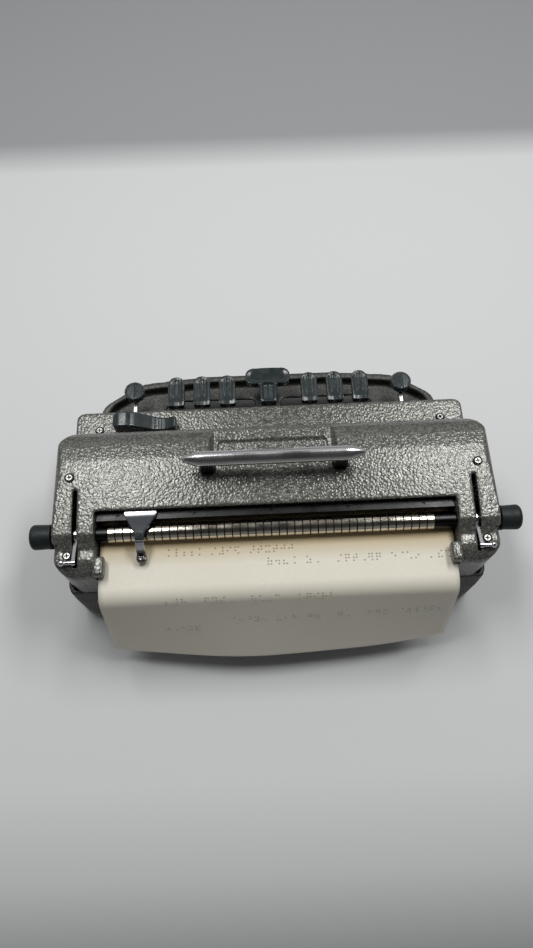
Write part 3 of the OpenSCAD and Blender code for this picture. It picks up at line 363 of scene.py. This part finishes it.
def cream_paper(name, shade=1.0):
    """Heavy braille paper, with fibres, faint soiling and a browner band near the roller."""
    p = Paint(name, roughness=0.8)
    fibre = p.noise(260.0, 8.0, 0.75, p.stretched((1.0, 1.6, 1.6)), 0.6)
    base = p.ramp(fibre, [(0.3, (0.70, 0.665, 0.565)), (0.7, (0.76, 0.73, 0.635))])
    clouds = p.ramp(p.noise(14.0, 4.0), [(0.35, 0.0), (0.75, 0.5)])
    aged = p.mix(clouds, base, (0.70, 0.655, 0.53))
    depth = p.node("ShaderNodeSeparateXYZ")
    p.link(p.place, depth.inputs["Vector"])
    near = p.node("ShaderNodeMapRange")
    near.inputs["From Min"].default_value = 0.058
    near.inputs["From Max"].default_value = 0.077
    near.inputs["To Min"].default_value = 1.0
    near.inputs["To Max"].default_value = 0.0
    p.link(depth.outputs["Y"], near.inputs["Value"])
    colour = p.mix(near.outputs["Result"], aged, (0.53, 0.42, 0.245))
    # A shade below 1 darkens the whole paper: painted shade, used for the embossed dots.
    if shade < 1:
        colour = p.mix(1.0, colour, (shade, shade, shade), "MULTIPLY")
    return p.finish(colour, None, p.bump(fibre, 0.12, 0.0004))


def roller_metal(name):
    """Worn nickel on the lands, and dark and dull below their radius, in the grooves: the dark is painted
    shade.
    """
    p = Paint(name, metallic=1.0)
    place = p.node("ShaderNodeVectorMath", operation="SUBTRACT")
    p.link(p.place, place.inputs[0])
    place.inputs[1].default_value = (0, ROLLER_Y * MM, ROLLER_Z * MM)
    flat = p.node("ShaderNodeVectorMath", operation="MULTIPLY")
    p.link(place.outputs[0], flat.inputs[0])
    flat.inputs[1].default_value = (0, 1, 1)
    far = p.node("ShaderNodeVectorMath", operation="LENGTH")
    p.link(flat.outputs[0], far.inputs[0])
    land = p.node("ShaderNodeMapRange")
    land.inputs["From Min"].default_value = (GROOVE_R + 0.2) * MM
    land.inputs["From Max"].default_value = (LAND_R - 0.2) * MM
    p.link(far.outputs["Value"], land.inputs["Value"])
    nickel = p.ramp(p.noise(30.0, 5.0, 0.7), [(0.3, (0.50, 0.46, 0.38)), (0.7, (0.68, 0.63, 0.54))])
    # Near-black in the grooves: painted shade between the lands.
    colour = p.mix(land.outputs["Result"], (0.035, 0.032, 0.028), nickel)
    polish = p.ramp(p.noise(90.0, 5.0), [(0.3, 0.08), (0.7, 0.2)])
    rough = p.mix(land.outputs["Result"], (0.5, 0.5, 0.5), polish)
    return p.finish(colour, rough, p.bump(p.noise(300.0, 5.0), 0.04, 0.0002))


def waxed_cord(name):
    """Dark cord with a fine slanting lay."""
    p = Paint(name)
    lay = p.node("ShaderNodeTexWave", wave_type="BANDS", bands_direction="DIAGONAL")
    lay.inputs["Scale"].default_value = 900.0
    p.link(p.place, lay.inputs["Vector"])
    colour = p.ramp(lay.outputs["Fac"], [(0.2, (0.02, 0.018, 0.015)), (0.8, (0.09, 0.08, 0.065))])
    return p.finish(colour, None, p.bump(lay.outputs["Fac"], 0.5, 0.0003))


ENAMEL = hammertone("hammertone")
DEEP_ENAMEL = hammertone("hammertone_base", 0.20, 0.00014, (0.42, 0.52))
PLASTIC = key_plastic("key_plastic")
CHROME = metal("chrome", (0.60, 0.60, 0.61), (0.74, 0.74, 0.75), (0.07, 0.2), (6.0, 300.0, 300.0), None, 0.03)
STEEL = metal("steel", (0.40, 0.40, 0.39), (0.58, 0.58, 0.57), (0.22, 0.4))
SCREW_STEEL = metal("screw_steel", (0.26, 0.25, 0.235), (0.42, 0.41, 0.39), (0.3, 0.5), (90.0, 90.0, 90.0))
ALUMINIUM = metal("aluminium", (0.52, 0.52, 0.52), (0.72, 0.72, 0.73), (0.16, 0.28),
                  (6.0, 300.0, 300.0), None, 0.03)
GUN_METAL = finger_metal("gun_metal")
# The dots' paper is darkened to 0.55: painted shade for the shadows of the small domes.
SHADED_DOT_PAPER = cream_paper("dot_paper_painted_shade", 0.55)
ROLLER = roller_metal("nickel")
DARK = metal("blued_steel", (0.035, 0.042, 0.052), (0.075, 0.088, 0.105), (0.2, 0.36), (60.0, 60.0, 60.0),
             (0.16, 0.17, 0.18))
BLACK = metal("black_bar", (0.012, 0.012, 0.012), (0.03, 0.03, 0.03), (0.22, 0.4), (8.0, 400.0, 400.0))
SATIN = rubber_black("satin_plastic", (0.007, 0.010, 0.010), (0.013, 0.018, 0.018), 0.42)
BRASS = metal("brass", (0.42, 0.29, 0.11), (0.60, 0.44, 0.20), (0.2, 0.4))
RUBBER = rubber_black("rubber")
PAPER = cream_paper("paper")
CORD = waxed_cord("cord")

FINISH = {
    "enamel": ENAMEL, "plastic": PLASTIC, "chrome": CHROME, "steel": STEEL, "dark_steel": DARK,
    "brass": BRASS, "rubber": RUBBER, "paper": PAPER, "cord": CORD,
}
OTHER_FINISH = {
    "feed_roller": ROLLER, "guide_bar": BLACK, "base_casting": DEEP_ENAMEL, "feed_knobs": SATIN,
    "cover_screws": SCREW_STEEL, "base_screws": SCREW_STEEL,
}


def dress_frame():
    """Gives each CAD node its finish."""
    for name, obj in nodes.items():
        obj.data.materials.clear()
        obj.data.materials.append(OTHER_FINISH.get(name, FINISH[SLOT[name]]))


# ---- Pieces ----

def ease(value, low, high):
    """0 up to low, 1 from high, and smooth between them."""
    share = min(max((value - low) / (high - low), 0.0), 1.0)
    return share * share * (3 - 2 * share)


def new_piece(name, bm, finish, node):
    """Makes an object of a bmesh, with a finish, that rides with a CAD node."""
    mesh = bpy.data.meshes.new(name)
    bm.normal_update()
    bm.to_mesh(mesh)
    bm.free()
    mesh.shade_smooth()
    mesh.materials.append(finish)
    piece = bpy.data.objects.new(name, mesh)
    bpy.context.scene.collection.objects.link(piece)
    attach(piece, BODY[node])
    return piece


def applied(piece):
    """Applies all of a piece's modifiers."""
    graph = bpy.context.evaluated_depsgraph_get()
    mesh = bpy.data.meshes.new_from_object(piece.evaluated_get(graph))
    piece.modifiers.clear()
    piece.data = mesh
    return piece


def softened(node, voxel, smoothing, keep=1.0, shape=None, finish=None):
    """A copy of a CAD node whose edges are rounded as on a casting: remeshed, smoothed and thinned out.
    shape moves a vertex, given its place in millimetres, and returns the new one."""
    mesh = nodes[node].data.copy()
    piece = bpy.data.objects.new("soft_" + node, mesh)
    bpy.context.scene.collection.objects.link(piece)
    remesh = piece.modifiers.new("remesh", "REMESH")
    remesh.mode = "VOXEL"
    remesh.voxel_size = voxel * MM
    applied(piece)
    if shape:
        for vertex in piece.data.vertices:
            x, y, z = vertex.co / MM
            vertex.co = Vector(shape(x, y, z)) * MM
    smooth = piece.modifiers.new("smooth", "SMOOTH")
    smooth.factor = 0.5
    smooth.iterations = smoothing
    if keep < 1:
        thin = piece.modifiers.new("thin", "DECIMATE")
        thin.ratio = keep
    applied(piece)
    piece.data.shade_smooth()
    piece.data.materials.clear()
    piece.data.materials.append(finish or OTHER_FINISH.get(node, FINISH[SLOT[node]]))
    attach(piece, BODY[node])
    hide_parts(node)
    return piece


def loft(rings, bm=None):
    """Adds to a bmesh the closed skin over rings of points in millimetres, each with as many points."""
    bm = bm or bmesh.new()
    made = [[bm.verts.new(Vector(point) * MM) for point in ring] for ring in rings]
    count = len(made[0])
    faces = []
    for one, two in zip(made, made[1:]):
        for i in range(count):
            j = (i + 1) % count
            faces.append(bm.faces.new((one[i], one[j], two[j], two[i])))
    faces.append(bm.faces.new(made[0][::-1]))
    faces.append(bm.faces.new(made[-1]))
    bmesh.ops.recalc_face_normals(bm, faces=faces)
    return bm


def bar(bm, low, high, bevel=0.3):
    """Adds a box with bevelled edges, between two corners in millimetres."""
    low, high = Vector(low), Vector(high)
    made = bmesh.ops.create_cube(bm, size=1)["verts"]
    for vertex in made:
        share = vertex.co + Vector((0.5, 0.5, 0.5))
        vertex.co = Vector(low[i] + share[i] * (high[i] - low[i]) for i in range(3)) * MM
    edges = {edge for vertex in made for edge in vertex.link_edges}
    bmesh.ops.bevel(bm, geom=list(edges), offset=bevel * MM, segments=2, affect="EDGES", profile=0.6)
    return bm


def ring(bm, middle, inner, outer, height, tilt=0.0, segments=40):
    """Adds a flat ring, lying on its middle point in millimetres and tilted about X."""
    turn = Matrix.Rotation(tilt, 3, "X")
    sunk, chamfer = -0.4, 0.15
    profile = [(inner, sunk), (outer, sunk), (outer, height * 0.6), (outer - chamfer, height),
               (inner + chamfer, height), (inner, height * 0.6)]
    loops = []
    for i in range(segments):
        angle = 2 * math.pi * i / segments
        points = [turn @ Vector((r * math.cos(angle), r * math.sin(angle), h)) for r, h in profile]
        loops.append([bm.verts.new((Vector(middle) + point) * MM) for point in points])
    faces = []
    for one, two in zip(loops, loops[1:] + loops[:1]):
        for i in range(len(profile)):
            j = (i + 1) % len(profile)
            faces.append(bm.faces.new((one[i], two[i], two[j], one[j])))
    bmesh.ops.recalc_face_normals(bm, faces=faces)
    return bm


def cross_recess(bm, middle, top, turn, reach, half, heights, slope=0.0):
    """Adds a black cross in a screw's head, painted shade for its recess, in millimetres: two thin blocks at
    right angles.
    """
    for quarter in (0.0, math.pi / 2):
        along = Vector((math.cos(turn + quarter), math.sin(turn + quarter)))
        side = Vector((-along.y, along.x)) * half
        corners = [along * reach + side, -along * reach + side, -along * reach - side, along * reach - side]
        loft([[(middle[0] + c.x, middle[1] + c.y, top + h - c.y * slope) for c in corners]
              for h in heights], bm)


def make_prongs(node, middle, behind):
    """Two black prongs under the rear edge of a key's cap, that reach behind it."""
    bm = bmesh.new()
    for side in (-1, 1):
        ends = sorted((middle + side * 2.1, middle + side * 5.6))
        bar(bm, (ends[0], KEY_REAR - 1, 49.6), (ends[1], KEY_REAR + behind, 56.5))
    new_piece("prongs_" + node, bm, RUBBER, node)


def make_keys():
    """Six dot keys: each cap has a hollow with two beads, inside a raised rim that fades at the rear."""
    for name, middle in KEY_X.items():
        def hollow(x, y, z, middle=middle):
            if z < KEY_TOP - CAP_DEPTH:
                return x, y, z
            ahead = KEY_FRONT + KEY_HALF - y
            inside = KEY_HALF - (math.hypot(x - middle, ahead) if ahead > 0 else abs(x - middle))
            if inside < RIM:
                return x, y, z
            behind = KEY_REAR - y
            deep = 1.5 * ease(inside, 0.6, 6.5) * (0.45 + 0.55 * ease(behind, 2.0, 12.0))
            bead = 0.5 * math.exp(-((abs(x - middle) - 2.6) / 0.55) ** 2) * ease(behind, 8.0, 12.0)
            return x, y, KEY_TOP - deep + bead * ease(inside, 1.6, 3.4) - 0.5 * ease(-behind, -4.0, 0.0)
        softened(name, 0.45, 2, 0.6, hollow)
        make_prongs(name, middle, 4.2)


def make_space_key():
    """T-shaped key: a shallow hollow in the wing, and a deeper one with a rim of its own in the stem."""
    wing_y, wing_r = SPACE_FRONT + SPACE_WING / 2, SPACE_WING / 2
    corner_r = 5

    def hollow(x, y, z):
        if z < KEY_TOP - CAP_DEPTH:
            return x, y, z
        wing = wing_r - math.hypot(max(abs(x) - (SPACE_HALF - wing_r), 0.0), y - wing_y)
        stem = min(KEY_HALF - abs(x), KEY_REAR - y)
        if max(wing, stem) < RIM:
            return x, y, z
        over, under = abs(x) - (KEY_HALF - corner_r), y - (KEY_REAR - corner_r)
        cup = corner_r - math.hypot(over, under) if over > 0 and under > 0 else stem
        cup = min(cup, 21.0 - math.hypot(x, y + 97.0))
        deep = max(0.9 * ease(wing, 0.8, 5.5), 1.7 * ease(cup, 1.4, 4.4))
        beads = 0.35 * math.exp(-((cup - 1.3) / 0.5) ** 2) * ease(y, -119.0, -116.5)
        beads += 0.4 * math.exp(-((abs(x) - 2.2) / 0.5) ** 2) * ease(cup, 2.4, 4.0)
        return x, y, KEY_TOP - deep + beads

    softened("space_key", 0.45, 2, 0.6, hollow)
    make_prongs("space_key", 0.0, 3.2)


def make_round_keys():
    """Two round keys with a faint crease across the middle."""
    for name, side in (("backspace_key", 1), ("line_key", -1)):
        def domed(x, y, z, side=side):
            u, v = x - side * ROUND_X, y - ROUND_Y
            if z < 62.5 or math.hypot(u, v) > ROUND_R - 1:
                return x, y, z
            crease = 0.45 * math.exp(-((u + 0.6) / 0.5) ** 2)
            return x, y, ROUND_TOP - 0.045 * abs(u) + crease - 0.3 * ease(math.hypot(u, v), 7.5, 9.2)
        softened(name, 0.4, 2, 0.5, domed)


def make_carriage_lever():
    """Thumb lever with a few ribs in its hollow."""
    first, last, pitch, fade = 95, 107, 2.4, 2

    def ribbed(x, y, z):
        if first < x < last and z > 83.5:
            wave = 0.22 * math.sin((x - first) * 2 * math.pi / pitch)
            return x, y, z + wave * ease(x, first, first + fade) * (1 - ease(x, last - fade, last))
        return x, y, z
    softened("carriage_lever", 0.55, 9, 0.6, ribbed)


def make_handle():
    """Polished bar with a ridge, tapered ends and a thin front lip that is cut away in the middle."""
    def section(x, size):
        lip = 1 - ease(NOTCH_HALF + 2.5 - abs(x), 0.0, 3.5)
        front = -4.6 - 1.9 * lip
        points = [(front, 0.4), (-4.0, 0.0), (5.4, 0.0), (6.4, 0.9), (6.4, 3.6), (5.7, 5.0), (3.4, 6.6),
                  (1.0, 7.8), (-0.2, 8.0), (-1.2, 7.9), (-3.2, 6.9), (-4.5, 5.9), (-4.7, 2.9), (front, 2.4)]
        low = 4.0
        return [(x, HANDLE_Y + y * size, HANDLE_Z + low + (z - low) * size) for y, z in points]

    stations = [-HANDLE_HALF, -72.6, -70.0, -62.2, -61.4, -60.6]
    stations += [-60 + 4 * i for i in range(1, 10)] + [-18, -16.5, -15, -13.5, -12, -10, -6, -2]
    stations += [-x for x in stations[::-1]]

    def size(x):
        left = HANDLE_HALF - abs(x)
        if left < 0.5:
            return 0.12
        if left < 11.5:
            return 0.26 + 0.70 * (left / 11.5) ** 0.8
        return 0.97 if left < 12.3 else 1.0

    bm = loft([section(x, size(x)) for x in stations])
    ridges = [e for e in bm.edges if e.calc_face_angle(0) > math.radians(35)]
    bmesh.ops.bevel(bm, geom=ridges, offset=0.25 * MM, segments=2, affect="EDGES")
    piece = new_piece("handle_bar", bm, ALUMINIUM, "carrying_handle")
    sharpen = piece.modifiers.new("edges", "EDGE_SPLIT")
    sharpen.split_angle = math.radians(50)
    box_low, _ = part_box("carrying_handle")
    legs = bmesh.new()
    for side in (-1, 1):
        ends = sorted((side * 49.2, side * 59.8))
        bar(legs, (ends[0], 0.5, box_low[2] / MM), (ends[1], 7.5, HANDLE_Z + 1), 0.6)
    new_piece("handle_posts", legs, DARK, "carrying_handle")
    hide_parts("carrying_handle")


def make_finger():
    """Embossing finger: a plate with a raised crest, a small pin, and a cross screw in its round tip."""
    def bent(x, y, z):
        crest = 0.13 * (min(max(y, 40.0), 57.0) - 40.0) * (1 - ease(y, 57.0, 64.0))
        dent = 0.0
        if z > 121.9:
            dent = 0.7 * math.exp(-((x - FINGER_X) ** 2 + (y - 56.5) ** 2) / 2.6)
        return x, y, z + crest - dent

    piece = softened("embossing_finger", 0.4, 3, 0.7, bent, GUN_METAL)
    screw = (FINGER_X, FINGER_SCREW_Y)
    top = max(v.co.z / MM for v in piece.data.vertices
              if math.hypot(v.co.x / MM - screw[0], v.co.y / MM - screw[1]) < 1.5)
    bm = bmesh.new()
    # Black ring round the screw head and black cross in it: painted shade for the gap and the recess.
    ring(bm, (*screw, top - 0.15), 1.9, 2.6, 0.45, -0.15, 32)
    cross_recess(bm, screw, top, 0.5, 1.5, 0.4, (-1.0, 0.1))
    ring(bm, (FINGER_X, FINGER_PIN_Y, 125.3), 0.2, 1.2, 0.12, 0.13, 24)
    new_piece("finger_screw_ring", bm, BLACK, "embossing_finger")


def on_sheet(x, s):
    """Point of the sheet and the way it faces, x across and s behind the roller along it, in millimetres."""
    if s < 0:
        turn = s / WRAP_R
        out = Vector((0, math.sin(turn), math.cos(turn)))
        return Vector((x, ROLLER_Y, DRUM_Z)) + out * WRAP_R, out
    if s < LEVEL:
        return Vector((x, ROLLER_Y + s, DRUM_Z + WRAP_R)), Vector((0, 0, 1))
    across = x / SHEET_HALF
    full = math.radians(BEND_DEG + CORNER_DEG * across * across)
    turned = min((s - LEVEL) / BEND_R, full)
    sunk = BEND_R * (1 - math.cos(turned))
    point = Vector((x, ROLLER_Y + LEVEL + BEND_R * math.sin(turned), DRUM_Z + WRAP_R - sunk))
    down = Vector((0, math.cos(turned), -math.sin(turned)))
    out = Vector((0, math.sin(turned), math.cos(turned)))
    past = max(s - LEVEL - BEND_R * full, 0.0)
    wave = 1.1 * math.sin(3.1 * across + 0.9) + 0.5 * math.sin(7.3 * across)
    return point + down * past + out * wave * ease(s, 70.0, 132.0), out


def make_paper():
    """The sheet, half round the drum and falling behind, with rows of made-up embossed cells."""
    start, end = -math.pi * WRAP_R, LEVEL + BEND_R * math.radians(BEND_DEG) + FALL_LEN
    rows, columns, thick = 110, 60, 0.25
    along = [start + (end - start) * i / rows for i in range(rows + 1)]
    over = [-SHEET_HALF + 2 * SHEET_HALF * i / columns for i in range(columns + 1)]
    bm = bmesh.new()
    skins = []
    for half in (thick / 2, -thick / 2):
        grid = []
        for s in along:
            grid.append([])
            for x in over:
                point, out = on_sheet(x, s)
                grid[-1].append(bm.verts.new((point + out * half) * MM))
        skins.append(grid)
    for k, grid in enumerate(skins):
        for one, two in zip(grid, grid[1:]):
            for i in range(columns):
                quad = (one[i], one[i + 1], two[i + 1], two[i])
                bm.faces.new(quad if k else quad[::-1])
    upper, lower = skins
    border = [(0, i) for i in range(columns)] + [(j, columns) for j in range(rows)]
    border += [(rows, i) for i in range(columns, 0, -1)] + [(j, 0) for j in range(rows, 0, -1)]
    for (a, b), (c, d) in zip(border, border[1:] + border[:1]):
        bm.faces.new((upper[a][b], upper[c][d], lower[c][d], lower[a][b]))
    bmesh.ops.recalc_face_normals(bm, faces=bm.faces)
    sheet = new_piece("sheet", bm, PAPER, "paper_sheet")
    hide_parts("paper_sheet")

    # Each line of cells: its place along the sheet, and where it starts and ends across it
    lines = ((15.5, 92, 22), (25.9, 8, -134), (56.5, 92, -48), (82.0, 40, -134), (92.4, 96, 60))
    cell_pitch, dot_pitch = 6.35, 2.5
    dice = random.Random(11)
    dots = bmesh.new()
    for s, first, last in lines:
        x = first
        while x > last:
            for _ in range(dice.randint(2, 6)):
                for column in range(2):
                    for row in range(3):
                        if dice.random() < 0.47:
                            dome(dots, x - dot_pitch * column, s + dot_pitch * (row - 1), thick / 2)
                x -= cell_pitch
            x -= cell_pitch * dice.randint(1, 2)
    cells = new_piece("embossed_dots", dots, SHADED_DOT_PAPER, "paper_sheet")


def dome(bm, x, s, lift):
    """Adds one embossed dot to a bmesh."""
    rings = []
    segments, peak = 10, 0.48
    for radius, height in ((0.8, -0.05), (0.62, 0.22), (0.34, 0.42)):
        loop = []
        for i in range(segments):
            angle = 2 * math.pi * i / segments
            point, out = on_sheet(x + radius * math.cos(angle), s + radius * math.sin(angle))
            loop.append(bm.verts.new((point + out * (lift + height)) * MM))
        rings.append(loop)
    point, out = on_sheet(x, s)
    top = bm.verts.new((point + out * (lift + peak)) * MM)
    for one, two in zip(rings, rings[1:]):
        for i in range(segments):
            j = (i + 1) % segments
            bm.faces.new((one[i], one[j], two[j], two[i]))
    for i in range(segments):
        bm.faces.new((rings[-1][i], rings[-1][(i + 1) % segments], top))
    bm.faces.new(rings[0][::-1])


def turned(bm, profile, turns=40):
    """Adds a solid turned about the feed roller's axis, from (x, radius) pairs in millimetres."""
    return loft([[(x, ROLLER_Y + radius * math.sin(2 * math.pi * i / turns),
                   ROLLER_Z + radius * math.cos(2 * math.pi * i / turns)) for i in range(turns)]
                 for x, radius in profile], bm)


def make_roller():
    """Feed roller: nickel lands between grooves painted dark as shade, dull plain ends, and collars out to
    the knobs.
    """
    count, start, end_x, end_r, shaft_r = 42, -128.9, 147.4, 6.5, 4.0
    collar_r, collar_in, collar_out = 10.3, 183.3, 184.9
    profile = []
    for i in range(count):
        at = start + i * RING_PITCH
        profile += [(at, GROOVE_R), (at + 0.2, GROOVE_R), (at + 0.5, LAND_R), (at + RING_PITCH - 0.5, LAND_R),
                    (at + RING_PITCH - 0.2, GROOVE_R)]
    roller = new_piece("ringed_roller", turned(bmesh.new(), profile), ROLLER, "feed_roller")
    split = roller.modifiers.new("edges", "EDGE_SPLIT")
    split.split_angle = math.radians(30)
    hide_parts("feed_roller")
    low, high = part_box("feed_roller")
    ends = bmesh.new()
    turned(ends, [(start - 0.1, end_r), (-end_x, end_r)])
    turned(ends, [(start + count * RING_PITCH, end_r), (end_x, end_r)])
    plain = new_piece("roller_ends", ends, BLACK, "feed_roller")
    plain.modifiers.new("edges", "EDGE_SPLIT").split_angle = math.radians(30)
    shaft = bmesh.new()
    turned(shaft, [(low[0] / MM, shaft_r), (0.4 - end_x, shaft_r)], 24)
    turned(shaft, [(end_x - 0.4, shaft_r), (high[0] / MM, shaft_r)], 24)
    new_piece("roller_shaft", shaft, STEEL, "feed_roller")
    collars = bmesh.new()
    turned(collars, [(-collar_out, collar_r), (-collar_in, collar_r)], 48)
    turned(collars, [(collar_in, collar_r), (collar_out, collar_r)], 48)
    made = new_piece("knob_collars", collars, SATIN, "feed_knobs")
    made.modifiers.new("edges", "EDGE_SPLIT").split_angle = math.radians(30)


def make_lugs():
    """Paper guides: two rounded lugs on the arms' inner corners, over the edges of the sheet."""
    inner, outer, bevel = 140.2, 149.0, 2.2
    bm = bmesh.new()
    for side in (-1, 1):
        ends = sorted((side * inner, side * outer))
        bar(bm, (ends[0], 69.5, 105.4), (ends[1], 85.5, 115.8), bevel)
    new_piece("paper_lugs", bm, ENAMEL, "top_cover")


def make_screw_rings():
    """Black ring in the gap round, and black cross in the recess of, each screw head above the seam, as
    painted shade; the lower ones stay plain.
    """
    head_r, gap = 3.25, 0.75
    for node, slope in (("cover_screws", 0.1), ("base_screws", 0.0)):
        heads = {}
        for vertex in nodes[node].data.vertices:
            x, y, z = vertex.co / MM
            place = (x > 0, y > 40, z > 60)
            heads.setdefault(place, []).append((x, y, z))
        bm = bmesh.new()
        for (_, _, high), points in heads.items():
            if not high:
                continue
            top = max(z for _, _, z in points)
            rim = [p for p in points if p[2] > top - 1.5]
            middle = [sum(p[i] for p in rim) / len(rim) for i in range(2)]
            ring(bm, (*middle, top - 0.75), head_r, head_r + gap, 0.35, -slope)
            turn = middle[0] * 1.3 + middle[1]
            cross_recess(bm, middle, top, turn, 1.9, 0.42, (-0.5, 0.06), slope)
        new_piece("painted_shade_" + node, bm, BLACK, node)


make_camera()
make_world()
area_light("lamp_left", (0.38, -0.38, 1.30), 8.7)
area_light("lamp_right", (-0.51, -0.38, 1.30), 9.5)
make_stage()
dress_frame()

softened("top_cover", 1.05, 2, 0.32)
softened("base_casting", 1.4, 3, 0.3)
softened("front_panel", 1.1, 2, 0.4)
make_keys()
make_space_key()
make_round_keys()
make_carriage_lever()
make_handle()
make_finger()
make_roller()
make_lugs()
make_paper()
make_screw_rings()

bpy.context.scene.view_settings.view_transform = "Standard"
